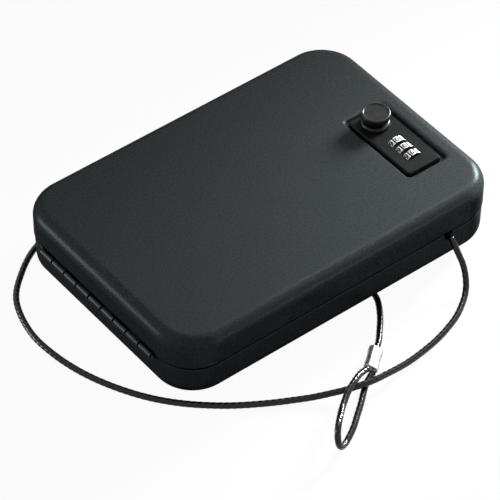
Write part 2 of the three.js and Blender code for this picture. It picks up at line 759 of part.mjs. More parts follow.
// A leaf spring with one finger for each wheel, against the housing's front wall
function makeDetentSpring() {
  const wall = lockX + cavityWidth / 2 - FIT;
  const foot = housingBottom + FIT;
  const tip = lockX + DIAL_RADIUS + RUNNING_FIT;
  const finger = new THREE.Shape();
  finger.moveTo(wall, foot);
  finger.lineTo(wall, foot + SPRING_BEND_HEIGHT);
  finger.lineTo(tip + SPRING_GAUGE, dialZ);
  finger.lineTo(tip + 2 * SPRING_GAUGE, dialZ + SPRING_LEAD);
  finger.lineTo(tip + SPRING_GAUGE, dialZ + SPRING_LEAD);
  finger.lineTo(tip, dialZ);
  finger.lineTo(wall - SPRING_GAUGE, foot + SPRING_BEND_HEIGHT);
  finger.lineTo(wall - SPRING_GAUGE, foot);
  const strip = block(
    [wall - SPRING_GAUGE, cavityNear + FIT, foot],
    [wall, cavityFar - FIT, foot + SPRING_STRIP_HEIGHT],
  );
  const fingers = dialYs.map((y) =>
    drawnAlongY(finger, y - SPRING_FINGER_WIDTH / 2, y + SPRING_FINGER_WIDTH / 2),
  );
  return join(strip, ...fingers);
}

// The plate that shifts the clutches to set a new number, with a tab through the cover
function makeResetSlide() {
  const slot = resetSlot();
  const low = housingBottom + FIT / 2;
  const left = lockX - cavityWidth / 2 + FIT;
  const half = RESET_TAB_WIDTH / 2;
  const plate = block(
    [left, cavityNear + 2 * FIT, low],
    [left + RESET_PLATE_LENGTH, cavityFar - 2 * FIT, low + RESET_PLATE_THICKNESS],
  );
  const tab = block(
    [slot.start - half, slot.y - half, coverBottom - RESET_TAB_DROP],
    [slot.start + half, slot.y + half, low + RESET_PLATE_THICKNESS],
  );
  return join(plate, tab);
}

function makeKnobBezel() {
  const inner = KNOB_STEM_RADIUS + FIT;
  const low = plateTop + FIT / 2;
  const high = low + BEZEL_HEIGHT;
  const profile = [
    [inner, low],
    [KNOB_RADIUS, low],
    [KNOB_RADIUS, low + BEZEL_HEIGHT * 0.3],
    [KNOB_RADIUS - BEZEL_ROUND * 0.12, low + BEZEL_HEIGHT * 0.6],
    [KNOB_RADIUS - BEZEL_ROUND * 0.5, low + BEZEL_HEIGHT * 0.88],
    [KNOB_RADIUS - BEZEL_ROUND, high],
    [inner, high],
    [inner, low],
  ];
  return turned(lockX, KNOB_Y, profile);
}

// The knob: a waisted stem under a cap whose top is dished inside a rounded rim
function makeKnob() {
  const low = plateTop + FIT;
  const top = plateTop + KNOB_HEIGHT;
  const capLow = top - KNOB_CAP_HEIGHT;
  const dish = top - KNOB_DISH_DEPTH;
  const bore = SPINDLE_RADIUS + FIT;
  const profile = [
    [bore, low],
    [KNOB_STEM_RADIUS, low],
    [KNOB_STEM_RADIUS, capLow - KNOB_FILLET],
    [KNOB_STEM_RADIUS + KNOB_FILLET * 0.4, capLow - KNOB_FILLET * 0.3],
    [KNOB_RADIUS - KNOB_CAP_ROUND * 0.5, capLow + KNOB_CAP_ROUND * 0.2],
    [KNOB_RADIUS - KNOB_CAP_ROUND * 0.1, capLow + KNOB_CAP_ROUND * 0.55],
    [KNOB_RADIUS, capLow + KNOB_CAP_ROUND],
    [KNOB_RADIUS, top - KNOB_RIM_ROUND],
    [KNOB_RADIUS - KNOB_RIM_ROUND * 0.3, top - KNOB_RIM_ROUND * 0.3],
    [KNOB_RADIUS - KNOB_RIM_ROUND, top],
    [KNOB_DISH_RADIUS + KNOB_DISH_EDGE, top],
    [KNOB_DISH_RADIUS, top - KNOB_DISH_EDGE],
    [KNOB_DISH_RADIUS - KNOB_DISH_EDGE, dish],
    [0, dish],
  ];
  const boreTop = dish - KNOB_CROWN;
  profile.unshift([0, boreTop], [bore, boreTop]);
  return turned(lockX, KNOB_Y, profile);
}

function makeSpindle() {
  const top = plateTop + KNOB_HEIGHT - KNOB_DISH_DEPTH - KNOB_CROWN - FIT;
  const collarTop = coverBottom - FIT;
  const collarLow = camTop + FIT;
  const squareLow = camBottom - FIT;
  const threadLow = squareLow - WASHER_THICKNESS - NUT_HEIGHT - SPINDLE_END;
  const half = SPINDLE_SQUARE / 2;
  return join(
    bar(lockX, KNOB_Y, SPINDLE_RADIUS, collarTop - 0.5, top),
    bar(lockX, KNOB_Y, SPINDLE_COLLAR_RADIUS, collarLow, collarTop),
    block([lockX - half, KNOB_Y - half, squareLow], [lockX + half, KNOB_Y + half, collarLow + 0.5]),
    bar(lockX, KNOB_Y, SPINDLE_THREAD_RADIUS, threadLow, squareLow + 0.5, 16),
  );
}

// The latch cam, drawn unlatched: its arm points along -Y and turns to +X under the keeper
function makeLatchCam() {
  const half = CAM_WIDTH / 2;
  const start = Math.acos(half / CAM_HUB_RADIUS);
  const shape = new THREE.Shape();
  shape.absarc(lockX, KNOB_Y, CAM_HUB_RADIUS, -start, Math.PI + start, false);
  const tip = KNOB_Y - CAM_REACH;
  shape.lineTo(lockX - half, tip + CAM_TAPER);
  shape.lineTo(lockX - half + CAM_TIP_INSET, tip);
  shape.lineTo(lockX + half - CAM_TIP_INSET, tip);
  shape.lineTo(lockX + half, tip + CAM_TAPER);
  const hole = SPINDLE_SQUARE / 2 + FIT;
  return cut(
    raised(shape, camBottom, camTop, 6),
    block([lockX - hole, KNOB_Y - hole, camBottom - 1], [lockX + hole, KNOB_Y + hole, camTop + 1]),
  );
}

function makeCamWasher() {
  const high = camBottom - FIT;
  const low = high - WASHER_THICKNESS;
  return cut(
    bar(lockX, KNOB_Y, WASHER_RADIUS, low, high),
    block(
      [lockX - SPINDLE_SQUARE / 2 - FIT, KNOB_Y - SPINDLE_SQUARE / 2 - FIT, low - 1],
      [lockX + SPINDLE_SQUARE / 2 + FIT, KNOB_Y + SPINDLE_SQUARE / 2 + FIT, high + 1],
    ),
  );
}

function makeCamNut() {
  const high = camBottom - 2 * FIT - WASHER_THICKNESS;
  const low = high - NUT_HEIGHT;
  const corner = NUT_FLATS / 2 / Math.cos(Math.PI / 6);
  return cut(
    bar(lockX, KNOB_Y, corner, low, high, 6),
    bar(lockX, KNOB_Y, SPINDLE_THREAD_RADIUS + FIT, low - 1, high + 1, 16),
  );
}

// A bent bracket on the inside of the tray's front lip, with rounded free corners
function makeKeeper() {
  const back = lipLength / 2 - LIP_THICKNESS - FIT;
  const front = back - KEEPER_GAUGE;
  const reach = lockX + CAM_REACH - KEEPER_OVERLAP;
  const lipLow = camTop + KEEPER_CAM_GAP;
  const lipHigh = lipLow + KEEPER_GAUGE;
  const weldLow = seam + LIP_RISE - KEEPER_WELD_HEIGHT;
  const half = KEEPER_WIDTH / 2;
  const angle = new THREE.Shape();
  angle.moveTo(back, weldLow);
  angle.lineTo(back, lipHigh - KEEPER_GAUGE);
  angle.absarc(back - KEEPER_GAUGE, lipHigh - KEEPER_GAUGE, KEEPER_GAUGE, 0, Math.PI / 2);
  angle.lineTo(reach, lipHigh);
  angle.lineTo(reach, lipLow);
  angle.lineTo(front, lipLow);
  angle.lineTo(front, weldLow);
  const outline = roundedRectangle(back, KNOB_Y, 2 * (back - reach), KEEPER_WIDTH, KEEPER_CORNER);
  return drawnAlongY(angle, KNOB_Y - half, KNOB_Y + half).intersect(raised(outline, 0, lidTop));
}

// The post that the cable's inner eye drops over, riveted through the tray's floor
function makeAnchorPost() {
  const post = postPlace();
  const floor = underside + SHEET + FIT;
  const rivetLow = underside - FIT - POST_RIVET_HEAD_HEIGHT;
  const top = floor + POST_HEIGHT;
  const headLow = top - POST_HEAD_HEIGHT;
  const profile = [
    [0, rivetLow],
    [POST_RIVET_HEAD_RADIUS - POST_RIVET_EDGE, rivetLow],
    [POST_RIVET_HEAD_RADIUS, underside - FIT],
    [POST_RIVET_RADIUS, underside - FIT],
    [POST_RIVET_RADIUS, floor],
    [POST_RADIUS, floor],
    [POST_RADIUS, headLow],
    [POST_HEAD_RADIUS, headLow],
    [POST_HEAD_RADIUS, top - POST_HEAD_EDGE],
    [POST_HEAD_RADIUS - POST_HEAD_EDGE, top],
    [0, top],
  ];
  return turned(post.x, post.y, profile, 20);
}

// The cable's routes are points chosen by hand. Outside the case they are in the object's
// frame. From the notch down to the surface, round the hinge end, behind the far corner and under
// the case to its outer ferrule.
const CABLE_ROUTE = [
  [81.3, -83.6, 24.3],
  [81.1, -85.7, 23.9],
  [80.6, -89.2, 21.8],
  [80.2, -93.6, 18.0],
  [79.7, -98.4, 13.6],
  [77.9, -103.0, 9.3],
  [75.1, -107.2, 5.6],
  [71.3, -110.9, 3.2],
  [67.0, -114.1, 2.3],
  [57.1, -120.3, 2.05],
  [45.3, -125.1, 2.05],
  [33.5, -128.5, 2.05],
  [22.1, -130.6, 2.2],
  [10.9, -132.3, 2.9],
  [0.5, -133.4, 4.3],
  [-9.3, -133.9, 5.8],
  [-19.0, -133.6, 6.5],
  [-26.6, -132.0, 6.5],
  [-35.3, -128.9, 5.6],
  [-43.8, -124.5, 4.2],
  [-52.0, -120.0, 2.9],
  [-60.3, -115.2, 2.2],
  [-76.7, -106.1, 2.05],
  [-97.1, -92.4, 2.05],
  [-117.6, -73.3, 2.05],
  [-132.3, -53.0, 2.05],
  [-145.1, -24.9, 2.05],
  [-151.1, 2.2, 2.05],
  [-151.2, 25.6, 2.05],
  [-142.5, 52.0, 2.05],
  [-126.7, 68.6, 2.05],
  [-109.8, 80.0, 2.05],
  [-93.0, 85.0, 2.05],
  [-76.0, 82.4, 2.05],
  [-56.0, 69.0, 2.05],
  [-34.0, 45.5, 2.05],
  [-12.0, 18.0, 2.05],
  [9.0, -12.0, 2.05],
  [24.5, -44.0, 2.05],
  [29.6, -66.0, 2.05],
  [28.3, -79.5, 2.05],
  [20.4, -92.5, 2.1],
  [12.6, -101.5, 2.6],
  [5.4, -109.2, 3.5],
  [0.1, -113.5, 4.3],
];

// The eye beyond the outer ferrule: out along the upper leg, round the tip and back
const EYE_ROUTE = [
  [-15.1, -123.5, 5.6],
  [-19.6, -125.2, 7.7],
  [-24.2, -127.2, 9.6],
  [-32.0, -131.3, 11.4],
  [-38.4, -134.6, 11.7],
  [-44.0, -138.3, 11.3],
  [-50.6, -143.4, 11.8],
  [-58.3, -150.6, 14.5],
  [-63.7, -155.9, 14.5],
  [-66.3, -159.0, 12.2],
  [-66.9, -160.7, 8.5],
  [-65.1, -160.8, 4.7],
  [-60.6, -158.9, 2.5],
  [-54.1, -155.4, 2.2],
  [-48.0, -151.5, 2.2],
  [-41.2, -146.2, 2.2],
  [-34.1, -140.7, 2.2],
  [-27.2, -134.8, 2.2],
  [-23.2, -131.6, 2.2],
  [-18.3, -128.5, 2.6],
  [-12.8, -126.2, 3.1],
];

// Inside the case, with X counted from the lock's middle: from the notch down to the foam,
// to the inner ferrule
const INNER_ROUTE = [
  [-10.4, -83.0, 24.3],
  [-10.4, -80.6, 24.3],
  [-10.4, -76.8, 23.7],
  [-10.3, -70.6, 21.0],
  [-9.9, -63.4, 17.4],
  [-9.1, -55.6, 14.8],
  [-7.5, -46.8, 13.7],
  [-5.1, -38.0, 13.7],
  [-1.7, -29.0, 14.1],
];

// The inner eye, dropped over the post, with X counted as before
const INNER_EYE_ROUTE = [
  [6.6, -10.4, 14.0],
  [11.9, -3.0, 13.6],
  [16.5, 6.4, 13.3],
  [17.3, 15.6, 13.3],
  [13.5, 22.6, 13.3],
  [6.8, 25.4, 13.3],
  [0.1, 22.2, 13.3],
  [-3.1, 14.8, 13.3],
  [-2.3, 6.2, 13.3],
  [0.3, -1.2, 13.6],
  [2.6, -8.8, 14.0],
];

function tube(route, diameter, steps) {
  const sides = 8;
  const curve = new THREE.CatmullRomCurve3(route.map((point) => new THREE.Vector3(...point)));
  const section = new THREE.Shape();
  for (let side = 0; side < sides; side += 1) {
    const angle = (2 * Math.PI * side) / sides;
    const point = [(diameter / 2) * Math.cos(angle), (diameter / 2) * Math.sin(angle)];
    if (side === 0) section.moveTo(...point);
    else section.lineTo(...point);
  }
  const options = { steps, extrudePath: curve, bevelEnabled: false };
  return toSolid(new THREE.ExtrudeGeometry(section, options));
}

// A crimped sleeve: a flattened oval pressed to eight flats, centred on a line from start
// to end and rolled about it
function makeFerrule({ start, end, roll }) {
  const shape = new THREE.Shape();
  const halfWidth = FERRULE_WIDTH / 2;
  const halfThickness = FERRULE_THICKNESS / 2;
  const halfCrest = FERRULE_CREST / 2;
  const halfSide = FERRULE_SIDE / 2;
  shape.moveTo(halfWidth, -halfSide);
  shape.lineTo(halfWidth, halfSide);
  shape.lineTo(halfCrest, halfThickness);
  shape.lineTo(-halfCrest, halfThickness);
  shape.lineTo(-halfWidth, halfSide);
  shape.lineTo(-halfWidth, -halfSide);
  shape.lineTo(-halfCrest, -halfThickness);
  shape.lineTo(halfCrest, -halfThickness);
  const options = {
    depth: FERRULE_LENGTH - 2 * FERRULE_END_EDGE,
    bevelEnabled: true,
    bevelThickness: FERRULE_END_EDGE,
    bevelSize: FERRULE_END_EDGE,
    bevelOffset: -FERRULE_END_EDGE,
    bevelSegments: 1,
  };
  const geometry = new THREE.ExtrudeGeometry(shape, options);
  geometry.translate(0, 0, -options.depth / 2);
  const from = new THREE.Vector3(...start);
  const to = new THREE.Vector3(...end);
  const along = to.clone().sub(from).normalize();
  const across = new THREE.Vector3(0, 0, 1).cross(along).normalize();
  const up = along.clone().cross(across);
  const place = new THREE.Matrix4().makeBasis(across, up, along);
  place.setPosition(from.add(to).multiplyScalar(0.5));
  return toSolid(geometry.rotateZ(roll).applyMatrix4(place));
}

const OUTER_FERRULE = { start: [-0.4, -113.9, 4.3], end: [-13.2, -124.3, 4.3], roll: -0.55 };
const INNER_FERRULE = { start: [-0.9, -26.9, 14.1], end: [4.1, -11.7, 14.1], roll: 0 };

const base = new THREE.Group();
base.add(piece('base_tray', makeBaseTray(), paint));
base.add(piece('base_foam', makeBaseFoam(), foam));
const leafBase = HINGE_STANDOFF + BASE_INSET + SHEET + BASE_TAPER + FIT;
const baseLeaf = makeHingeLeaf(-1, leafBase, baseLeafHeight, knucklesFrom(0));
base.add(piece('hinge_leaf_base', baseLeaf, hingePaint));
base.add(piece('hinge_pin', makeHingePin(), steel));
base.add(piece('latch_keeper', makeKeeper(), steel));
base.add(piece('cable_anchor_post', makeAnchorPost(), steel));
const footX = CASE_LENGTH / 2 - FOOT_INSET;
const footY = CASE_WIDTH / 2 - FOOT_INSET;
const footPlaces = [
  [-footX, -footY],
  [footX, -footY],
  [footX, footY],
  [-footX, footY],
];
footPlaces.forEach(([x, y], index) => {
  base.add(piece(`foot_${index + 1}`, makeFoot(x, y), rubber));
});

const innerCable = new THREE.Group();
innerCable.position.x = lockX;
innerCable.add(piece('cable_inner', tube(INNER_ROUTE, CABLE_DIAMETER, 12), vinyl));
innerCable.add(piece('cable_eye_inner', tube(INNER_EYE_ROUTE, CABLE_DIAMETER, 16), vinyl));
innerCable.add(piece('ferrule_inner', makeFerrule(INNER_FERRULE), aluminium));
base.add(innerCable);

const lid = new THREE.Group();
lid.add(piece('lid_shell', makeLidShell(), paint));
lid.add(piece('lid_foam', makeLidFoam(), foam));
const leafLid = HINGE_STANDOFF + SHEET + FIT;
const lidLeaf = makeHingeLeaf(1, leafLid, lidLeafHeight, knucklesFrom(1));
lid.add(piece('hinge_leaf_lid', lidLeaf, hingePaint));
lid.add(piece('lock_housing', makeLockHousing(), lockPaint));
lid.add(piece('lock_cover', makeLockCover(), steel));
bossYs().forEach((y, index) => {
  lid.add(piece(`lock_mount_screw_${index + 1}`, makeMountScrew(y), steel));
});
coverScrewPlaces().forEach((place, index) => {
  lid.add(piece(`lock_cover_screw_${index + 1}`, makeCoverScrew(place), steel));
});
lid.add(piece('dial_axle', makeDialAxle(), steel));
lid.add(piece('detent_spring', makeDetentSpring(), steel));
lid.add(piece('knob_bezel', makeKnobBezel(), knobPaint));
lid.add(piece('reset_slide', makeResetSlide(), brass));
dialYs.forEach((y, index) => {
  lid.add(piece(`dial_wheel_${index + 1}`, makeDialWheel(y), dialWhite));
  lid.add(piece(`dial_clutch_${index + 1}`, makeDialClutch(y), brass));
});

const knob = new THREE.Group();
knob.add(piece('knob', makeKnob(), knobPaint));
knob.add(piece('knob_spindle', makeSpindle(), steel));
knob.add(piece('latch_cam', makeLatchCam(), steel));
knob.add(piece('cam_washer', makeCamWasher(), steel));
knob.add(piece('cam_nut', makeCamNut(), steel));
lid.add(knob);

const safe = new THREE.Group();
safe.position.x = hingeOverhang / 2;
safe.add(base, lid);

const cable = new THREE.Group();
cable.add(piece('cable_run', tube(CABLE_ROUTE, CABLE_DIAMETER, 72), vinyl));
cable.add(piece('cable_eye_outer', tube(EYE_ROUTE, CABLE_DIAMETER, 20), vinyl));
cable.add(piece('ferrule_outer', makeFerrule(OUTER_FERRULE), aluminium));

const model = new THREE.Group();
model.add(safe, cable);

export default model;
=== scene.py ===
import json
import math

import bmesh
import bpy
import numpy as np
from mathutils import Matrix, Vector


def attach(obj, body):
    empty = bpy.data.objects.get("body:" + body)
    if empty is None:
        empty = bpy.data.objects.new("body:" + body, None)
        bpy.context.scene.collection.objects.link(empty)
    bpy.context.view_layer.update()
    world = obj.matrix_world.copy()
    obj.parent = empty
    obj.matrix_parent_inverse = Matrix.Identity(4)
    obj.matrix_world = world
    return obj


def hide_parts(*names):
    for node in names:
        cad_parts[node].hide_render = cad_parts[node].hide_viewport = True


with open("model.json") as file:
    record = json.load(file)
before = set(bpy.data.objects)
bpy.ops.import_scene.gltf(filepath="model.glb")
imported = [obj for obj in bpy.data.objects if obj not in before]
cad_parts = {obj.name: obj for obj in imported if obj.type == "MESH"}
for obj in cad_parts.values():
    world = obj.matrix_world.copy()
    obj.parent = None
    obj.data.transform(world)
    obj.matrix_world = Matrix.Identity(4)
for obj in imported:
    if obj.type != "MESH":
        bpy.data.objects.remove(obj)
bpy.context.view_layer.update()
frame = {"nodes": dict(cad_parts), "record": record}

# The looks of a portable car safe. Sizes are in millimetres in the object's frame, and
# become metres where a mesh is made: +X points from the hinge to the lock, -Y is the side
# with the cable's notch, and +Z is up.

MM = 0.001
NODES = frame["nodes"]

# Camera
CAMERA_LENS = 239.694
CAMERA_AT = (-0.88817, -1.12775, 1.43127)
CAMERA_RIGHT = (0.78749, -0.61634, 0)
CAMERA_UP = (0.43559, 0.55655, 0.70747)

# Case
CASE_X = 1.675
CASE_LENGTH = 241
CASE_WIDTH = 166.5
CORNER = 26.5
SHEET = 1.5
SEAM = 27.5
SEAM_GAP = 1.8
LID_TOP = 49.5
LID_BEND = 8.5
LID_RIM_ROUND = 0.3
BASE_BOTTOM = 5
BASE_BEND = 7
BASE_RIM_ROUND = 0.8
BASE_INSET = 0.5
BASE_TAPER = 0.4
LIP_INSET = 1.9
LIP_THICKNESS = 1.4
LIP_LOW = 23.5
LIP_HIGH = 31.5
LIP_HINGE_END = CASE_X - 107.25
NOTCH_RADIUS = 2.9
NOTCH_DROP = 3.2
NOTCH_X = 81.275

# Hinge
HINGE_X = -120.275
HINGE_LENGTH = 110
HINGE_KNUCKLES = 9
HINGE_RADIUS = 1.9
HINGE_GAUGE = 0.9
HINGE_LEAF = 13.5
HINGE_SLOT_HALF = HINGE_LENGTH / 2 + 1
HINGE_SLOT_DEPTH = 3.1
BASE_LEAF_OUTSIDE = 4.25
LID_LEAF_OUTSIDE = 3.25
KNUCKLE_GAP = 1.2
PIN_RADIUS = 0.8

# Lock
LOCK_X = 91.675
PLATE_NEAR = -47.6
PLATE_FAR = 11.6
PLATE_WIDTH = 25.8
PLATE_BOTTOM = 47.25
PLATE_TOP = 50.05
PLATE_CORNER = 2
RECESS_FLOOR = 47.1
RECESS_GAP = 1.4
HOUSING_WIDTH = 21.6
HOUSING_BOTTOM = 34.15
HOUSING_NEAR = -39.45
HOUSING_FAR = 5.2
HOUSING_GAP = 0.3
BOSS_RADIUS = 1.8
MOUNT_SCREW_YS = (-44.3, 9.2)
MOUNT_SCREW_HOLE = 1.4
COVER_SCREW_X = 7.4
COVER_SCREW_Y = -10.5
COVER_SCREW_HOLE = 1.2
CAVITY_HALF = 9.4
CAVITY_NEAR = -38.05
CAVITY_FAR = -16.15
SPINDLE_BORE = 3.3
AXLE_HOLE = 1.5
WINDOW_HALF = 2.75
DIAL_YS = [-20.4, -27.6, -34.8]
DIAL_Z = 44.45
DIAL_RADIUS = 7.5
DIAL_BORE = 2.6
DIAL_WIDTH = 4.9
GROOVE_DEPTH = 0.6
DIGIT_HEIGHT = 3.6
DIGIT_WIDTH = 2.5
DIGIT_LIFT = 0.03
KNOB_RADIUS = 9.3

# Cable
CABLE_RADIUS = 2
STRANDS = 6
STRAND_RELIEF = 0.27
LAY_LENGTH = 23
POST_AT = (99.675, 13)
POST_RIVET_HOLE = 2.3
POST_FOAM_HOLE = 8

# Linings: the outline's low x, high x, low y, high y and corner, then the heights
BASE_LINING = (-111.925, 115.275, -76.35, 76.35, 20.5)
BASE_LINING_ZS = (6.8, 10.8)
LID_LINING = (-108.825, 70.375, -73.25, 73.25, 18)
LID_LINING_ZS = (43.7, 47.7)

# Feet
FEET = [(-94.825, -59.25), (98.175, -59.25), (98.175, 59.25), (-94.825, 59.25)]

# Surroundings: the floor's grey as a source of light and as it is seen, the share of its
# own white glow for the camera and in mirrors, and the sky's light
FLOOR_GREY = 0.12
FLOOR_PALE = 0.82
GLOW_SEEN = 0.95
GLOW_MIRRORED = 0.6
SKY_LIGHT = 0.09


# Camera

def make_camera():
    """The camera that was fitted to the photograph."""
    data = bpy.data.cameras.new("photo_camera")
    data.sensor_width = 36
    data.lens = CAMERA_LENS
    data.clip_start = 0.05
    data.clip_end = 50
    camera = bpy.data.objects.new("photo_camera", data)
    bpy.context.scene.collection.objects.link(camera)
    right, up = Vector(CAMERA_RIGHT), Vector(CAMERA_UP)
    back = right.cross(up)
    turn = Matrix((right, up, back)).transposed().to_4x4()
    camera.matrix_world = Matrix.Translation(CAMERA_AT) @ turn
    bpy.context.scene.camera = camera


make_camera()


# Materials

class Shader:
    """A node material on one Principled shader, with a short call for each node it needs."""

    def __init__(self, name, **settings):
        self.material = bpy.data.materials.new(name)
        self.material.use_nodes = True
        self.tree = self.material.node_tree
        self.principled = self.tree.nodes["Principled BSDF"]
        self.coordinates = self.tree.nodes.new("ShaderNodeTexCoord").outputs["Object"]
        for socket, value in settings.items():
            self.principled.inputs[socket.replace("_", " ")].default_value = value

    def set(self, socket, source):
        """Links a node's output to a socket of the Principled shader."""
        self.tree.links.new(source, self.principled.inputs[socket])

    def node(self, kind, **inputs):
        """A new node, with its inputs set to values or linked to sockets."""
        node = self.tree.nodes.new(kind)
        for key, value in inputs.items():
            self.feed(node.inputs[key.replace("_", " ")], value)
        return node

    def feed(self, socket, value):
        if isinstance(value, bpy.types.NodeSocket):
            self.tree.links.new(value, socket)
        else:
            socket.default_value = value

    def stretched(self, scale):
        """Object coordinates scaled by axis, for a pattern with a direction."""
        mapping = self.node("ShaderNodeMapping", Vector=self.coordinates)
        mapping.inputs["Scale"].default_value = scale
        return mapping.outputs["Vector"]

    def noise(self, size_mm, detail=2, where=None):
        """Noise with features of about a size, at object coordinates or those given."""
        vector = where or self.coordinates
        scale = 1000 / size_mm
        node = self.node("ShaderNodeTexNoise", Vector=vector, Scale=scale, Detail=detail)
        return node.outputs["Fac"]

    def cells(self, size_mm):
        """Distances from the middles of cells of about a size."""
        scale = 1000 / size_mm
        node = self.node("ShaderNodeTexVoronoi", Vector=self.coordinates, Scale=scale)
        return node.outputs["Distance"]

    def spread(self, value, low, high, to_low, to_high):
        """Maps low..high to to_low..to_high."""
        node = self.node("ShaderNodeMapRange")
        for index, number in ((0, value), (1, low), (2, high), (3, to_low), (4, to_high)):
            self.feed(node.inputs[index], number)
        return node.outputs["Result"]

    def colour(self, value, low, high):
        """Colours the shader by a value, between two stops of a position and a colour."""
        node = self.node("ShaderNodeValToRGB", Fac=value)
        for stop, (position, colour) in zip(node.color_ramp.elements, (low, high)):
            stop.position = position
            stop.color = (*colour, 1)
        self.set("Base Color", node.outputs["Color"])

    def maths(self, operation, first, second):
        node = self.node("ShaderNodeMath")
        node.operation = operation
        self.feed(node.inputs[0], first)
        self.feed(node.inputs[1], second)
        return node.outputs[0]

    def weigh(self, first, first_share, second, second_share):
        """The sum of two values, each times its share."""
        first_part = self.maths("MULTIPLY", first, first_share)
        return self.maths("ADD", first_part, self.maths("MULTIPLY", second, second_share))

    def bump(self, height, depth_mm, strength):
        node = self.node("ShaderNodeBump", Height=height, Strength=strength)
        node.inputs["Distance"].default_value = depth_mm * MM
        self.set("Normal", node.outputs["Normal"])


def powder_coat():
    """Matte textured powder coat over sheet steel: fine pebbles and a faint speckle."""
    shader = Shader(
        "powder_coat", Metallic=0.25, Specular_IOR_Level=0.0, Specular_Tint=(0.2, 0.2, 0.2, 1)
    )
    pebbles = shader.noise(1.5)
    speckle = shader.noise(0.9, detail=1)
    cloud = shader.noise(45)
    grain = shader.maths("ADD", shader.maths("MULTIPLY", pebbles, 0.6), speckle)
    shader.colour(
        shader.maths("MULTIPLY", grain, 0.62),
        (0.3, (0.0253, 0.0292, 0.0300)),
        (0.7, (0.0457, 0.0527, 0.0541)),
    )
    rough = shader.maths("ADD", shader.spread(pebbles, 0.3, 0.7, -0.04, 0.04), 0.28)
    drift = shader.spread(cloud, 0.3, 0.7, -0.02, 0.02)
    shader.set("Roughness", shader.maths("ADD", rough, drift))
    shader.bump(grain, 0.07, 0.9)
    return shader.material


def lock_paint():
    """Satin black paint on the cast lock plate, with a faint orange peel."""
    shader = Shader("lock_paint", Specular_IOR_Level=0.04)
    peel = shader.noise(1.1)
    shader.colour(peel, (0.35, (0.008, 0.009, 0.009)), (0.7, (0.013, 0.0145, 0.015)))
    shader.set("Roughness", shader.spread(peel, 0.3, 0.7, 0.36, 0.44))
    shader.bump(peel, 0.03, 0.4)
    return shader.material


def knob_black():
    """Semi-gloss black on the knob and its bezel, with a soft brushed drift."""
    shader = Shader("knob_black", Specular_IOR_Level=0.22)
    drift = shader.noise(3, detail=3)
    shader.colour(drift, (0.3, (0.006, 0.006, 0.007)), (0.7, (0.011, 0.012, 0.012)))
    shader.set("Roughness", shader.spread(drift, 0.3, 0.7, 0.28, 0.36))
    shader.bump(shader.noise(0.7), 0.02, 0.15)
    return shader.material


def hinge_black():
    """Rolled steel with a thin black finish and a soft drift across the knuckles."""
    shader = Shader(
        "hinge_black", Metallic=0.8, Specular_IOR_Level=0.2, Specular_Tint=(0.4, 0.4, 0.4, 1)
    )
    drift = shader.noise(2.2, detail=3, where=shader.stretched((1, 0.25, 1)))
    shader.colour(drift, (0.3, (0.024, 0.025, 0.026)), (0.75, (0.040, 0.042, 0.043)))
    shader.set("Roughness", shader.spread(drift, 0.3, 0.7, 0.30, 0.40))
    shader.bump(drift, 0.02, 0.4)
    return shader.material


def plated_steel():
    """Zinc-plated steel: cool grey metal with fine spangle and handling marks."""
    shader = Shader("plated_steel", Metallic=1.0)
    spangle = shader.cells(1.6)
    haze = shader.noise(6, detail=4)
    mixed = shader.maths("ADD", shader.maths("MULTIPLY", spangle, 0.35), haze)
    shader.colour(mixed, (0.35, (0.42, 0.43, 0.45)), (0.9, (0.60, 0.61, 0.62)))
    shader.set("Roughness", shader.spread(mixed, 0.35, 0.9, 0.28, 0.42))
    shader.bump(haze, 0.02, 0.3)
    return shader.material


def brass():
    """Machined brass of the clutches and the reset slide."""
    shader = Shader("machined_brass", Metallic=1.0)
    turning = shader.noise(1.5, detail=3, where=shader.stretched((1, 4, 1)))
    shader.colour(turning, (0.3, (0.52, 0.36, 0.13)), (0.75, (0.68, 0.50, 0.22)))
    shader.set("Roughness", shader.spread(turning, 0.3, 0.7, 0.24, 0.36))
    shader.bump(turning, 0.015, 0.3)
    return shader.material


def dial_white():
    """Moulded white plastic of the number wheels."""
    shader = Shader("dial_white", IOR=1.49, Subsurface_Weight=0.08, Subsurface_Scale=0.0006)
    shade = shader.noise(2.5)
    shader.colour(shade, (0.3, (0.78, 0.78, 0.76)), (0.7, (0.86, 0.86, 0.84)))
    shader.set("Roughness", shader.spread(shade, 0.3, 0.7, 0.34, 0.42))
    shader.bump(shader.noise(0.6), 0.008, 0.3)
    return shader.material


def digit_ink():
    """The black paint that fills the digits."""
    shader = Shader("digit_ink", Specular_IOR_Level=0.1)
    wear = shader.noise(0.5)
    shader.colour(wear, (0.3, (0.004, 0.004, 0.004)), (0.8, (0.012, 0.012, 0.013)))
    shader.set("Roughness", shader.spread(wear, 0.3, 0.7, 0.4, 0.55))
    return shader.material


def dial_flank():
    """Black plastic of the wheels' flanks and the grooves between their white faces; the same black
    also serves as painted shade in the grooves and in the narrow gaps between the wheels.
    """
    shader = Shader("dial_flank", Specular_IOR_Level=0.15)
    shade = shader.noise(1.2)
    shader.colour(shade, (0.3, (0.004, 0.004, 0.005)), (0.7, (0.009, 0.009, 0.010)))
    shader.set("Roughness", shader.spread(shade, 0.3, 0.7, 0.5, 0.62))
    shader.bump(shade, 0.01, 0.3)
    return shader.material


def lining_foam():
    """Charcoal open-cell foam: pores just under a millimetre and a faint nap."""
    shader = Shader(
        "lining_foam", Specular_IOR_Level=0.0, Sheen_Weight=0.06, Sheen_Roughness=0.6
    )
    pores = shader.cells(0.9)
    fine = shader.noise(0.7, detail=3)
    waves = shader.noise(22)
    mixed = shader.weigh(pores, 0.8, fine, 0.4)
    tone = shader.weigh(mixed, 0.7, waves, 0.35)
    shader.colour(tone, (0.25, (0.006, 0.006, 0.007)), (0.8, (0.035, 0.036, 0.038)))
    shader.set("Roughness", shader.spread(fine, 0.3, 0.7, 0.88, 1.0))
    shader.bump(mixed, 0.25, 0.8)
    return shader.material


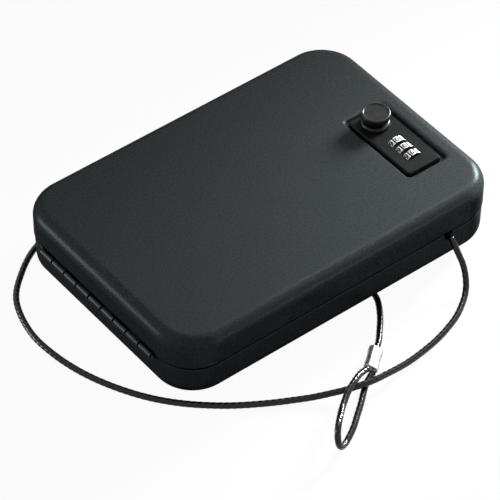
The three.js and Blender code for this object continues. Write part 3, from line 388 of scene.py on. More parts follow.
def rubber():
    """Moulded black rubber with a little bloom."""
    shader = Shader("foot_rubber", Specular_IOR_Level=0.3)
    bloom = shader.noise(4, detail=3)
    shader.colour(bloom, (0.3, (0.010, 0.010, 0.010)), (0.75, (0.024, 0.024, 0.023)))
    shader.set("Roughness", shader.spread(bloom, 0.3, 0.7, 0.6, 0.78))
    shader.bump(shader.noise(0.5), 0.03, 0.5)
    return shader.material


def cable_vinyl():
    """Glossy black vinyl drawn tight over the cable's strands."""
    shader = Shader("cable_vinyl", Specular_IOR_Level=0.3)
    drift = shader.noise(5)
    shader.colour(drift, (0.3, (0.003, 0.003, 0.0035)), (0.7, (0.006, 0.006, 0.007)))
    shader.set("Roughness", shader.spread(drift, 0.3, 0.7, 0.1, 0.16))
    shader.bump(shader.noise(0.9), 0.012, 0.3)
    return shader.material


def pressed_aluminium():
    """Pressed aluminium of the ferrules: die marks along it and a darker skin."""
    shader = Shader("pressed_aluminium", Metallic=1.0)
    marks = shader.noise(0.9, detail=4, where=shader.stretched((1, 1, 0.4)))
    dents = shader.noise(3.5)
    tone = shader.weigh(marks, 0.5, dents, 0.5)
    shader.colour(tone, (0.3, (0.34, 0.35, 0.36)), (0.7, (0.56, 0.57, 0.58)))
    shader.set("Roughness", shader.spread(tone, 0.3, 0.7, 0.22, 0.38))
    shader.bump(tone, 0.08, 0.5)
    return shader.material


MATERIALS = {
    "case_paint": powder_coat(),
    "lock_paint": lock_paint(),
    "knob_black": knob_black(),
    "hinge_black": hinge_black(),
    "steel": plated_steel(),
    "brass": brass(),
    "dial_white": dial_white(),
    "foam": lining_foam(),
    "rubber": rubber(),
    "cable_vinyl": cable_vinyl(),
    "ferrule_aluminium": pressed_aluminium(),
}
DIGIT_INK = digit_ink()
# Black plastic for the wheels' flanks and grooves, which also paints the shade in the grooves and
# between the wheels
DIAL_FLANK_PAINTED_SHADE = dial_flank()


# Meshes

def place(obj):
    bpy.context.scene.collection.objects.link(obj)
    return obj


def mesh_object(name, vertices, faces):
    """An object of vertices in millimetres."""
    mesh = bpy.data.meshes.new(name)
    mesh.from_pydata([tuple(MM * float(c) for c in v) for v in vertices], [], faces)
    mesh.validate()
    return place(bpy.data.objects.new(name, mesh))


def evaluated(obj):
    """The object's mesh with its modifiers, as a mesh of its own."""
    depsgraph = bpy.context.evaluated_depsgraph_get()
    return bpy.data.meshes.new_from_object(obj.evaluated_get(depsgraph))


def bake(obj):
    """Turns an object's modifiers into its mesh."""
    mesh = evaluated(obj)
    obj.modifiers.clear()
    obj.data = mesh


def combine(obj, tools, operation="DIFFERENCE"):
    """Cuts the tools from obj, or adds them, and removes them."""
    for tool in tools:
        modifier = obj.modifiers.new("solid", "BOOLEAN")
        modifier.operation = operation
        modifier.solver = "EXACT"
        modifier.object = tool
    bake(obj)
    for tool in tools:
        bpy.data.objects.remove(tool)


def smooth(obj, sharp=32, bevel_mm=0.0):
    """Soft shading with true edges, and small rounded edges where bevel_mm is given."""
    mesh = obj.data
    mesh.shade_smooth()
    if bevel_mm:
        modifier = obj.modifiers.new("edges", "BEVEL")
        modifier.width = bevel_mm * MM
        modifier.segments = 2
        modifier.limit_method = "ANGLE"
        modifier.angle_limit = math.radians(sharp)
        bake(obj)
        obj.data.shade_smooth()
    obj.data.set_sharp_from_angle(angle=math.radians(sharp))
    weighted = obj.modifiers.new("normals", "WEIGHTED_NORMAL")
    weighted.keep_sharp = True
    weighted.weight = 80
    return obj


def dress(obj, slot, body, *replaced):
    """Gives a piece its material, the body it rides on and the CAD nodes it stands for."""
    obj.data.materials.clear()
    obj.data.materials.append(MATERIALS[slot])
    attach(obj, body)
    if replaced:
        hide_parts(*replaced)
    return obj


def rounded_outline(low_x, high_x, low_y, high_y, radius, arc):
    """The points of a rounded rectangle, anticlockwise."""
    centres = [
        (high_x - radius, high_y - radius),
        (low_x + radius, high_y - radius),
        (low_x + radius, low_y + radius),
        (high_x - radius, low_y + radius),
    ]
    points = []
    for quarter, (x, y) in enumerate(centres):
        for step in range(arc + 1):
            angle = math.pi / 2 * (quarter + step / arc)
            points.append((x + radius * math.cos(angle), y + radius * math.sin(angle)))
    return points


def case_outline(inset):
    """The case's outline from above, drawn in by the inset."""
    half_x = CASE_LENGTH / 2 - inset
    half_y = CASE_WIDTH / 2 - inset
    low_x, high_x = CASE_X - half_x, CASE_X + half_x
    return rounded_outline(low_x, high_x, -half_y, half_y, CORNER - inset, 20)


def loft(name, rings):
    """A closed solid through rings of one point count, each an outline and its height."""
    count = len(rings[0][0])
    vertices = [(x, y, z) for outline, z in rings for x, y in outline]
    last = count * (len(rings) - 1)
    faces = []
    for low in range(0, last, count):
        for side in range(count):
            after = low + (side + 1) % count
            faces.append((low + side, after, after + count, low + side + count))
    faces.append(tuple(range(count - 1, -1, -1)))
    faces.append(tuple(range(last, last + count)))
    return mesh_object(name, vertices, faces)


def block(name, low, high):
    """A plain box between two corners."""
    return loft(
        name,
        [
            ([(low[0], low[1]), (high[0], low[1]), (high[0], high[1]), (low[0], high[1])], z)
            for z in (low[2], high[2])
        ],
    )


def face_outwards(obj, merge=False, fill=False):
    """Turns all faces outwards, after merging points and filling holes where asked."""
    bm = bmesh.new()
    bm.from_mesh(obj.data)
    if merge:
        bmesh.ops.remove_doubles(bm, verts=bm.verts, dist=1e-7)
    if fill:
        bmesh.ops.holes_fill(bm, edges=[e for e in bm.edges if e.is_boundary], sides=0)
    bmesh.ops.recalc_face_normals(bm, faces=bm.faces)
    bm.to_mesh(obj.data)
    bm.free()


def rod(name, centre, radius, low, high, axis="Z", sides=48):
    """A plain round tool for cutting, along Z or Y."""
    angles = [2 * math.pi * side / sides for side in range(sides)]
    ring = [(radius * math.cos(a), radius * math.sin(a)) for a in angles]
    obj = loft(name, [(ring, low), (ring, high)])
    if axis == "Z":
        obj.data.transform(Matrix.Translation((centre[0] * MM, centre[1] * MM, 0)))
    else:
        turn = Matrix.Rotation(-math.pi / 2, 4, "X")
        obj.data.transform(Matrix.Translation((centre[0] * MM, 0, centre[1] * MM)) @ turn)
    return obj


def filleted(profile, radius, steps=4):
    """A polyline with the corners between its ends rounded by at most the radius."""
    points = [profile[0]]
    for before, corner, after in zip(profile, profile[1:], profile[2:]):
        before, corner, after = (np.array(p, float) for p in (before, corner, after))
        to_before = before - corner
        to_after = after - corner
        room = min(np.linalg.norm(to_before), np.linalg.norm(to_after)) * 0.48
        reach = min(radius, room)
        start = corner + to_before / np.linalg.norm(to_before) * reach
        end = corner + to_after / np.linalg.norm(to_after) * reach
        for step in range(steps + 1):
            t = step / steps
            points.append(tuple((1 - t) ** 2 * start + 2 * t * (1 - t) * corner + t * t * end))
    points.append(profile[-1])
    return points


def turned(name, centre, profile, fillet, sides=96, axis="Z", shape=None):
    """A profile of (radius, height) turned about an axis; shape may vary the radius."""
    profile = filleted(profile, fillet)
    closed = profile[0] == profile[-1]
    if closed:
        profile = profile[:-1]
    vertices = []
    for radius, height in profile:
        for side in range(sides):
            angle = 2 * math.pi * side / sides
            r = shape(radius, angle) if shape else radius
            across, along = r * math.cos(angle), r * math.sin(angle)
            if axis == "Z":
                vertices.append((centre[0] + across, centre[1] + along, height))
            else:
                vertices.append((centre[0] + across, height, centre[1] - along))
    rows = len(profile)
    faces = []
    for row in range(rows if closed else rows - 1):
        low = row * sides
        high = (row + 1) % rows * sides
        for side in range(sides):
            after = (side + 1) % sides
            faces.append((low + side, low + after, high + after, high + side))
    obj = mesh_object(name, vertices, faces)
    face_outwards(obj, merge=True, fill=not closed)
    return obj


# The cable

CABLE_ROUTE = [
    (81.3, -83.6, 24.3), (81.1, -85.7, 23.9), (80.6, -89.2, 21.8), (80.2, -93.6, 18.0),
    (79.7, -98.4, 13.6), (77.9, -103.0, 9.3), (75.1, -107.2, 5.6), (71.3, -110.9, 3.2),
    (67.0, -114.1, 2.3), (57.1, -120.3, 2.05), (45.3, -125.1, 2.05), (33.5, -128.5, 2.05),
    (22.1, -130.6, 2.2), (10.9, -132.3, 2.9), (0.5, -133.4, 4.3), (-9.3, -133.9, 5.8),
    (-19.0, -133.6, 6.5), (-26.6, -132.0, 6.5), (-35.3, -128.9, 5.6), (-43.8, -124.5, 4.2),
    (-52.0, -120.0, 2.9), (-60.3, -115.2, 2.2), (-76.7, -106.1, 2.05), (-97.1, -92.4, 2.05),
    (-117.6, -73.3, 2.05), (-132.3, -53.0, 2.05), (-145.1, -24.9, 2.05), (-151.1, 2.2, 2.05),
    (-151.2, 25.6, 2.05), (-142.5, 52.0, 2.05), (-126.7, 68.6, 2.05), (-109.8, 80.0, 2.05),
    (-93.0, 85.0, 2.05), (-76.0, 82.4, 2.05), (-56.0, 69.0, 2.05), (-34.0, 45.5, 2.05),
    (-12.0, 18.0, 2.05), (9.0, -12.0, 2.05), (24.5, -44.0, 2.05), (29.6, -66.0, 2.05),
    (28.3, -79.5, 2.05), (20.4, -92.5, 2.1), (12.6, -101.5, 2.6), (5.4, -109.2, 3.5),
    (0.1, -113.5, 4.3),
]
EYE_ROUTE = [
    (-15.1, -123.5, 5.6), (-19.6, -125.2, 7.7), (-24.2, -127.2, 9.6), (-32.0, -131.3, 11.4),
    (-38.4, -134.6, 11.7), (-44.0, -138.3, 11.3), (-50.6, -143.4, 11.8), (-58.3, -150.6, 14.5),
    (-63.7, -155.9, 14.5), (-66.3, -159.0, 12.2), (-66.9, -160.7, 8.5), (-65.1, -160.8, 4.7),
    (-60.6, -158.9, 2.5), (-54.1, -155.4, 2.2), (-48.0, -151.5, 2.2), (-41.2, -146.2, 2.2),
    (-34.1, -140.7, 2.2), (-27.2, -134.8, 2.2), (-23.2, -131.6, 2.2), (-18.3, -128.5, 2.6),
    (-12.8, -126.2, 3.1),
]
INNER_ROUTE = [
    (-10.4, -83.0, 24.3), (-10.4, -80.6, 24.3), (-10.4, -76.8, 23.7), (-10.3, -70.6, 21.0),
    (-9.9, -63.4, 17.4), (-9.1, -55.6, 14.8), (-7.5, -46.8, 13.7), (-5.1, -38.0, 13.7),
    (-1.7, -29.0, 14.1),
]
INNER_EYE_ROUTE = [
    (6.6, -10.4, 14.0), (11.9, -3.0, 13.6), (16.5, 6.4, 13.3), (17.3, 15.6, 13.3),
    (13.5, 22.6, 13.3), (6.8, 25.4, 13.3), (0.1, 22.2, 13.3), (-3.1, 14.8, 13.3),
    (-2.3, 6.2, 13.3), (0.3, -1.2, 13.6), (2.6, -8.8, 14.0),
]
OUTER_FERRULE = ((-0.4, -113.9, 4.3), (-13.2, -124.3, 4.3), -0.55)
INNER_FERRULE = ((-0.9, -26.9, 14.1), (4.1, -11.7, 14.1), 0.0)


def smooth_route(route, spacing):
    """Points at an even spacing on the centripetal curve through a route's points."""
    points = np.array(route, float)
    points = np.vstack([2 * points[0] - points[1], points, 2 * points[-1] - points[-2]])
    dense = []
    for p0, p1, p2, p3 in zip(points, points[1:], points[2:], points[3:]):
        steps = ((p0, p1), (p1, p2), (p2, p3))
        d0, d1, d2 = (max(np.linalg.norm(b - a) ** 0.5, 1e-4) for a, b in steps)
        out = ((p1 - p0) / d0 - (p2 - p0) / (d0 + d1) + (p2 - p1) / d1) * d1
        into = ((p2 - p1) / d1 - (p3 - p1) / (d1 + d2) + (p3 - p2) / d2) * d1
        for t in np.arange(0, 1, 1 / 24):
            dense.append(
                p1 + out * t + (3 * (p2 - p1) - 2 * out - into) * t * t
                + (2 * (p1 - p2) + out + into) * t ** 3
            )
    dense.append(points[-2])
    dense = np.array(dense)
    along = np.r_[0, np.cumsum(np.linalg.norm(np.diff(dense, axis=0), axis=1))]
    count = int(round(along[-1] / spacing))
    even = np.linspace(0, along[-1], count + 1)
    line = np.stack([np.interp(even, along, dense[:, axis]) for axis in range(3)], 1)
    return line, along[-1]


def strand_tube(name, line, sides=48):
    """A tube whose surface shows the strands that twist under its coat."""
    tangents = np.gradient(line, axis=0)
    tangents /= np.linalg.norm(tangents, axis=1)[:, None]
    side = np.cross(tangents[0], (0, 0, 1))
    side /= np.linalg.norm(side)
    step = np.linalg.norm(line[1] - line[0])
    angles = np.arange(sides) * 2 * np.pi / sides
    vertices = []
    for index, (point, tangent) in enumerate(zip(line, tangents)):
        side = side - tangent * (side @ tangent)
        side /= np.linalg.norm(side)
        up = np.cross(side, tangent)
        phase = STRANDS * (angles - 2 * np.pi * index * step / LAY_LENGTH)
        crown = np.abs(np.cos(phase / 2))
        r = CABLE_RADIUS - STRAND_RELIEF * (1 - crown)
        ring = np.outer(r * np.cos(angles), side) + np.outer(r * np.sin(angles), up)
        vertices.extend(point + ring)
    faces = []
    for row in range(len(line) - 1):
        low, high = row * sides, (row + 1) * sides
        for k in range(sides):
            after = (k + 1) % sides
            faces.append((low + k, high + k, high + after, low + after))
    last = (len(line) - 1) * sides
    faces.append(tuple(range(sides)))
    faces.append(tuple(range(last + sides - 1, last - 1, -1)))
    obj = mesh_object(name, vertices, faces)
    obj.data.shade_smooth()
    obj.data.set_sharp_from_angle(angle=math.radians(60))
    return obj


def from_lock(points):
    """Points given from the lock's axis, in the object's frame."""
    return [(x + LOCK_X, y, z) for x, y, z in points]


def make_cable(name, node, route):
    """A stretch of the cable along its route."""
    line, length = smooth_route(route, 0.9)
    obj = strand_tube(name, line)
    dress(obj, "cable_vinyl", "base", node)


def make_ferrule(name, node, start, end, roll):
    """A sleeve pressed to eight flats over two strands, with waists where the die closed."""
    start, end = Vector(start), Vector(end)
    along = (end - start).normalized()
    across = Vector((0, 0, 1)).cross(along).normalized()
    up = along.cross(across)
    length = (end - start).length
    section = [
        (4.6, -1.1), (4.6, 1.1), (2.8, 3.0), (-2.8, 3.0),
        (-4.6, 1.1), (-4.6, -1.1), (-2.8, -3.0), (2.8, -3.0),
    ]
    outline = filleted([*section, section[0]], 0.55, 3)[1:-1]
    stations = [
        (-length / 2 + 0.9, 0.80), (-length / 2 + 0.12, 0.84), (-length / 2, 0.9),
        (-length / 2 + 0.1, 0.955), (-length / 2 + 0.45, 0.99), (-length / 2 + 1, 1.0),
        (-length * 0.2, 0.985), (-length * 0.16, 0.955), (-length * 0.1, 0.95),
        (length * 0.1, 0.95), (length * 0.16, 0.955), (length * 0.2, 0.985),
        (length / 2 - 1, 1.0), (length / 2 - 0.45, 0.99), (length / 2 - 0.1, 0.955),
        (length / 2, 0.9), (length / 2 - 0.12, 0.84), (length / 2 - 0.9, 0.80),
    ]
    middle = (start + end) / 2
    vertices = []
    for position, share in stations:
        for x, y in outline:
            u = share * (x * math.cos(roll) - y * math.sin(roll))
            v = share * (x * math.sin(roll) + y * math.cos(roll))
            vertices.append(middle + along * position + across * u + up * v)
    count = len(outline)
    faces = []
    for row in range(len(stations) - 1):
        for k in range(count):
            after = (k + 1) % count
            low, high = row * count, (row + 1) * count
            faces.append((low + k, low + after, high + after, high + k))
    faces.append(tuple(range(count - 1, -1, -1)))
    last = (len(stations) - 1) * count
    faces.append(tuple(range(last, last + count)))
    obj = smooth(mesh_object(name, vertices, faces), sharp=50)
    return dress(obj, "ferrule_aluminium", "base", node)


outer_ferrule = make_ferrule("outer_ferrule", "ferrule_outer", *OUTER_FERRULE)
inner_start, inner_end, inner_roll = INNER_FERRULE
inner_ferrule = make_ferrule(
    "inner_ferrule", "ferrule_inner", *from_lock([inner_start, inner_end]), inner_roll
)
make_cable("cable_main", "cable_run", CABLE_ROUTE)
make_cable("cable_loop", "cable_eye_outer", EYE_ROUTE)
make_cable("cable_inside", "cable_inner", from_lock(INNER_ROUTE))
make_cable("cable_inside_loop", "cable_eye_inner", from_lock(INNER_EYE_ROUTE))


# The case

def pan_skin(name, inset, taper, bend, rim, face, rim_round=0.0):
    """The solid outside of a drawn pan, its bend in fine steps and its rim eased."""
    side = 1 if face > rim else -1
    bend_start = face - side * bend
    rings = []
    if rim_round:
        for step in range(4):
            angle = math.pi / 2 * step / 3
            rings.append((
                case_outline(inset + rim_round * (1 - math.sin(angle))),
                rim + side * rim_round * (1 - math.cos(angle)),
            ))
    else:
        rings.append((case_outline(inset), rim))
    steps = 14
    for step in range(steps + 1):
        angle = math.pi / 2 * step / steps
        z = bend_start + side * bend * math.sin(angle)
        drift = taper * abs(bend_start - rim) / abs(face - rim)
        rings.append((case_outline(inset + drift + bend * (1 - math.cos(angle))), z))
    if side < 0:
        rings.reverse()
    return loft(name, rings)


def recess_tool(grow, drop):
    """The recess stamped round the lock plate: a steep wall that rolls over into the lid."""
    half_x = PLATE_WIDTH / 2 + RECESS_GAP + grow
    low_y = PLATE_NEAR - RECESS_GAP - grow
    high_y = PLATE_FAR + RECESS_GAP + grow
    steps = 12
    profile = [(0, 0), (0.03, 0.2)]
    for step in range(steps + 1):
        angle = math.pi / 2 * step / steps
        profile.append((0.1 + 0.9 * (1 - math.cos(angle)), 0.4 + 0.6 * math.sin(angle)))
    rings = []
    for run, rise in profile:
        outline = rounded_outline(
            LOCK_X - half_x - 1.7 * run,
            LOCK_X + half_x + 0.9 + 4.4 * run,
            low_y - 2.4 * run,
            high_y + 4 * run,
            3 + grow + 2 * run,
            10,
        )
        rings.append((outline, RECESS_FLOOR - drop + (LID_TOP - RECESS_FLOOR) * rise))
    rings.append((rings[-1][0], rings[-1][1] + 1))
    return loft("recess_tool", rings)


def notch_tools():
    """The notch that the cable lies in: a round bottom, and straight sides up to the rim."""
    z = SEAM - NOTCH_DROP
    bottom = rod("notch_bottom", (NOTCH_X, z), NOTCH_RADIUS, -120, -60, axis="Y")
    sides = block(
        "notch_sides",
        (NOTCH_X - NOTCH_RADIUS, -120, z),
        (NOTCH_X + NOTCH_RADIUS, -60, LIP_HIGH + 1),
    )
    return [bottom, sides]


def hinge_slot_tool(low, high):
    """The slot in the end wall that the knuckles stand in."""
    wall = CASE_X - CASE_LENGTH / 2
    return block(
        "slot_tool",
        (wall - 1, -HINGE_SLOT_HALF, low),
        (wall + HINGE_SLOT_DEPTH, HINGE_SLOT_HALF, high),
    )


def make_lid():
    """The lid's sheet with its stamped recess, cut for the lock and the hinge."""
    rim = SEAM + SEAM_GAP / 2
    lid = pan_skin("lid_painted", 0, 0, LID_BEND, rim, LID_TOP, LID_RIM_ROUND)
    inside = pan_skin("inside", SHEET, 0, LID_BEND - SHEET, rim - SHEET, LID_TOP - SHEET)
    combine(lid, [inside])
    stamping = recess_tool(SHEET, SHEET)
    under_top = block("under_top", (0, -90, 40), (130, 90, LID_TOP - SHEET / 2))
    combine(stamping, [under_top], "INTERSECT")
    combine(lid, [stamping], "UNION")
    housing = block(
        "housing_tool",
        (LOCK_X - HOUSING_WIDTH / 2 - HOUSING_GAP, HOUSING_NEAR - HOUSING_GAP, 30),
        (LOCK_X + HOUSING_WIDTH / 2 + HOUSING_GAP, HOUSING_FAR + HOUSING_GAP, 60),
    )
    bosses = [
        rod("boss_tool", (LOCK_X, y), BOSS_RADIUS + HOUSING_GAP, 30, 60) for y in MOUNT_SCREW_YS
    ]
    slot = hinge_slot_tool(20, SEAM + HINGE_RADIUS + 0.7)
    combine(lid, [recess_tool(0, 0), housing, *bosses, slot])
    smooth(lid, sharp=40)
    dress(lid, "case_paint", "lid", "lid_shell")


def make_base():
    """The tray with its anti-pry lip, cut for the cable, the hinge and the anchor post."""
    rim = SEAM - SEAM_GAP / 2
    base = pan_skin(
        "base_painted", BASE_INSET, BASE_TAPER, BASE_BEND, rim, BASE_BOTTOM, BASE_RIM_ROUND
    )
    inset, floor = BASE_INSET + SHEET, BASE_BOTTOM + SHEET
    inside = pan_skin("inside", inset, BASE_TAPER, BASE_BEND - SHEET, rim + SHEET, floor)
    combine(base, [inside])
    lip = loft("lip", [(case_outline(LIP_INSET), LIP_LOW), (case_outline(LIP_INSET), LIP_HIGH)])
    hollow = LIP_INSET + LIP_THICKNESS
    lip_inside = loft(
        "lip_inside", [(case_outline(hollow), LIP_LOW - 1), (case_outline(hollow), LIP_HIGH + 1)]
    )
    at_hinge = block(
        "at_hinge",
        (-140, -HINGE_SLOT_HALF, LIP_LOW - 1),
        (LIP_HINGE_END, HINGE_SLOT_HALF, LIP_HIGH + 1),
    )
    combine(lip, [lip_inside, at_hinge])
    combine(base, [lip], "UNION")
    slot = hinge_slot_tool(SEAM - HINGE_RADIUS - 0.3, 40)
    post = rod("post_tool", POST_AT, POST_RIVET_HOLE, 0, 12)
    combine(base, [*notch_tools(), slot, post])
    smooth(base, sharp=40)
    dress(base, "case_paint", "base", "base_tray")


make_lid()
make_base()


# The hinge

def make_hinge_leaf(name, node, body, side, leaf_outside, knuckles):
    """A leaf with its knuckles curled from the same sheet, side 1 up or -1 down."""
    outer, inner = HINGE_RADIUS, HINGE_RADIUS - HINGE_GAUGE
    leaf_inside = leaf_outside + HINGE_GAUGE
    curl_end = math.radians(-20)
    steps = 28
    curl = [(0, -outer), (leaf_outside, -outer), (leaf_outside, -outer - 1.8),
            (leaf_inside, -outer - 1.8), (leaf_inside, -inner), (0, -inner)]
    sweep = 2 * math.pi - (math.pi / 2 + curl_end)
    for step in range(1, steps + 1):
        angle = -math.pi / 2 - sweep * step / steps
        curl.append((inner * math.cos(angle), inner * math.sin(angle)))
    for step in range(steps):
        angle = curl_end + sweep * step / steps
        curl.append((outer * math.cos(angle), outer * math.sin(angle)))
    pitch = HINGE_LENGTH / HINGE_KNUCKLES
    vertices, faces = [], []

    def strip(outline, low, high):
        """Adds an outline in XZ, drawn out along Y."""
        first = len(vertices)
        count = len(outline)
        for y in (low, high):
            vertices.extend((HINGE_X + x, y, SEAM + side * z) for x, z in outline)
        last = first + count
        for k in range(count):
            after = (k + 1) % count
            faces.append((first + k, first + after, last + after, last + k))
        faces.append(tuple(range(first, last)))
        faces.append(tuple(range(last + count - 1, last - 1, -1)))

    strip(
        [(leaf_outside, -HINGE_LEAF), (leaf_inside, -HINGE_LEAF), (leaf_inside, -outer - 0.45),
         (leaf_outside, -outer - 0.45)],
        -HINGE_LENGTH / 2,
        HINGE_LENGTH / 2,
    )
    for knuckle in knuckles:
        low = -HINGE_LENGTH / 2 + knuckle * pitch + KNUCKLE_GAP / 2
        strip(curl, low, low + pitch - KNUCKLE_GAP)
    leaf = mesh_object(name, vertices, faces)
    face_outwards(leaf)
    smooth(leaf, sharp=35, bevel_mm=0.14)
    dress(leaf, "hinge_black", body, node)


make_hinge_leaf(
    "base_hinge_leaf", "hinge_leaf_base", "base", 1, BASE_LEAF_OUTSIDE, range(0, HINGE_KNUCKLES, 2)
)
make_hinge_leaf(
    "lid_hinge_leaf", "hinge_leaf_lid", "lid", -1, LID_LEAF_OUTSIDE, range(1, HINGE_KNUCKLES, 2)
)


def make_pin():
    """The hinge's pin with a peened head at each end."""
    half = HINGE_LENGTH / 2 + 1.2
    head = PIN_RADIUS + 0.5
    profile = [
        (0, -half), (PIN_RADIUS, -half), (head, -half + 0.3), (head, -half + 0.9),
        (PIN_RADIUS, -half + 0.9), (PIN_RADIUS, half - 0.9), (head, half - 0.9),
        (head, half - 0.3), (PIN_RADIUS, half), (0, half),
    ]
    pin = turned("pin", (HINGE_X, SEAM), profile, fillet=0.15, sides=32, axis="Y")
    dress(smooth(pin), "hinge_black", "base", "hinge_pin")


make_pin()


# The lock

def make_lock_body():
    """The cast lock: its face plate with drafted sides, and the housing behind it."""
    left, right = LOCK_X - PLATE_WIDTH / 2, LOCK_X + PLATE_WIDTH / 2
    draft = [
        (0.15, PLATE_BOTTOM), (0, PLATE_BOTTOM + 0.15), (0, PLATE_TOP - 1.6),
        (0.65, PLATE_TOP - 0.35), (0.85, PLATE_TOP - 0.08), (1.05, PLATE_TOP),
    ]
    rings = []
    for inset, z in draft:
        low_y, high_y = PLATE_NEAR + inset, PLATE_FAR - inset
        corner = PLATE_CORNER - inset / 2
        rings.append((rounded_outline(left + inset, right - inset, low_y, high_y, corner, 8), z))
    body = loft("lock_body", rings)
    box = block(
        "lock_box",
        (LOCK_X - HOUSING_WIDTH / 2, HOUSING_NEAR, HOUSING_BOTTOM),
        (LOCK_X + HOUSING_WIDTH / 2, HOUSING_FAR, PLATE_BOTTOM + 1.4),
    )
    bosses = [
        rod("boss", (LOCK_X, y), BOSS_RADIUS, 45.9, PLATE_BOTTOM + 1) for y in MOUNT_SCREW_YS
    ]
    combine(body, [box, *bosses], "UNION")
    cavity = block(
        "cavity",
        (LOCK_X - CAVITY_HALF, CAVITY_NEAR, 33),
        (LOCK_X + CAVITY_HALF, CAVITY_FAR, PLATE_TOP - 2),
    )
    axis = (LOCK_X, DIAL_Z)
    windows = [
        rod("window", axis, DIAL_RADIUS + 0.4, y - WINDOW_HALF, y + WINDOW_HALF, axis="Y", sides=96)
        for y in DIAL_YS
    ]
    bore = rod("bore", (LOCK_X, 0), SPINDLE_BORE, 30, 60)
    screws = [
        rod("screw_hole", (LOCK_X, y), MOUNT_SCREW_HOLE, 40, PLATE_TOP - 1) for y in MOUNT_SCREW_YS
    ]
    cover_screws = [
        rod("screw_hole", (LOCK_X + x, COVER_SCREW_Y), COVER_SCREW_HOLE, 30, HOUSING_BOTTOM + 6.3)
        for x in (-COVER_SCREW_X, COVER_SCREW_X)
    ]
    axle = rod("axle_hole", axis, AXLE_HOLE, -41, -13.35, axis="Y")
    combine(body, [cavity, *windows, bore, *screws, *cover_screws, axle])
    smooth(body, sharp=35)
    dress(body, "lock_paint", "lid", "lock_housing")


make_lock_body()


def make_bezel():
    """The ring round the knob's foot."""
    inner, low = 7.1, PLATE_TOP + 0.15
    profile = [
        (inner, low), (KNOB_RADIUS, low), (KNOB_RADIUS, low + 0.9), (KNOB_RADIUS - 0.12, low + 1.5),
        (KNOB_RADIUS - 0.5, low + 2.15), (KNOB_RADIUS - 1.2, low + 2.6), (inner, low + 2.6),
        (inner, low),
    ]
    bezel = turned("bezel", (LOCK_X, 0), profile, fillet=0.35)
    dress(smooth(bezel, sharp=60), "knob_black", "lid", "knob_bezel")


def make_knob():
    """The knob: a waist under a wide cap with a shallow dish."""
    low, top = PLATE_TOP + 0.3, PLATE_TOP + 9.6
    cap = top - 4.4
    dish = top - 0.6
    profile = [
        (0, dish - 1.6), (3.3, dish - 1.6), (3.3, low), (6.8, low), (6.8, cap - 1),
        (7.2, cap - 0.3), (8.4, cap + 0.4), (9.1, cap + 1), (KNOB_RADIUS, cap + 1.8),
        (KNOB_RADIUS, top - 1), (9.05, top - 0.35), (8.5, top), (7.95, top), (7.6, top - 0.2),
        (7.4, dish), (0, dish),
    ]
    knob = turned("turn_knob", (LOCK_X, 0), profile, fillet=0.4)
    dress(smooth(knob, sharp=60), "knob_black", "knob", "knob")


make_bezel()
make_knob()


def glyph(character):
    """A digit as points and small faces, centred, in millimetres."""
    curve = bpy.data.curves.new("glyph", "FONT")
    curve.body = character
    curve.resolution_u = 5
    curve.offset = 0.03
    text = place(bpy.data.objects.new("glyph", curve))
    cut = bmesh.new()
    cut.from_mesh(evaluated(text))
    bmesh.ops.triangulate(cut, faces=cut.faces[:])
    bmesh.ops.subdivide_edges(cut, edges=cut.edges[:], cuts=2, use_grid_fill=True)
    cut.verts.index_update()
    points = np.array([v.co for v in cut.verts], float)
    faces = [tuple(v.index for v in face.verts) for face in cut.faces]
    cut.free()
    bpy.data.objects.remove(text)
    low, high = points.min(0), points.max(0)
    middle = (low + high) / 2
    scale = np.array([DIGIT_WIDTH / (high[0] - low[0]), DIGIT_HEIGHT / (high[1] - low[1]), 1])
    if character == "1":
        scale[0] = scale[1]
    return (points - middle) * scale, faces


def make_dial(index, y):
    """A number wheel with ten faces parted by grooves, and its digits."""
    def groove(radius, angle):
        """The radius with a groove between each two digits, and a slight crown between."""
        if radius < DIAL_RADIUS / 2:
            return radius
        share = (angle / (2 * math.pi) * 10) % 1
        near = min(share, 1 - share)
        cut = GROOVE_DEPTH * max(0.0, 1 - near / 0.13) ** 0.8
        return radius - cut - 0.05 * max(0.0, 1 - near / 0.4)

    half = DIAL_WIDTH / 2
    profile = [
        (DIAL_BORE, y - half), (DIAL_RADIUS - 0.25, y - half), (DIAL_RADIUS, y - half + 0.25),
        (DIAL_RADIUS, y + half - 0.25), (DIAL_RADIUS - 0.25, y + half), (DIAL_BORE, y + half),
        (DIAL_BORE, y - half),
    ]
    body = f"dial_{index}"
    axis = (LOCK_X, DIAL_Z)
    wheel = turned(f"{body}_wheel", axis, profile, fillet=0.1, sides=200, axis="Y", shape=groove)
    dress(smooth(wheel, sharp=40), "dial_white", body, f"dial_wheel_{index}")
    wheel.data.materials.append(DIAL_FLANK_PAINTED_SHADE)
    # Flanks and groove faces take the black flank material: black plastic that also paints the
    # shade in the grooves and in the gaps between the wheels
    for face in wheel.data.polygons:
        x, z = face.center.x / MM - LOCK_X, face.center.z / MM - DIAL_Z
        if abs(face.normal.y) > 0.5 or math.hypot(x, z) < DIAL_RADIUS - 0.22:
            face.material_index = 1
    vertices, faces = [], []
    r = DIAL_RADIUS + DIGIT_LIFT
    for digit in range(10):
        points, digit_faces = glyph(str(digit))
        first = len(vertices)
        for x, across, _ in points:
            angle = digit * math.pi / 5 + x / DIAL_RADIUS
            out, up = r * math.sin(angle), r * math.cos(angle)
            vertices.append((LOCK_X + out, y + across, DIAL_Z + up))
        faces.extend(tuple(first + k for k in face) for face in digit_faces)
    digits = mesh_object(f"{body}_digits", vertices, faces)
    digits.data.shade_smooth()
    digits.data.materials.append(DIGIT_INK)
    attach(digits, body)


for number, dial_y in enumerate(DIAL_YS, 1):
    make_dial(number, dial_y)


# Linings, feet and the pieces inside

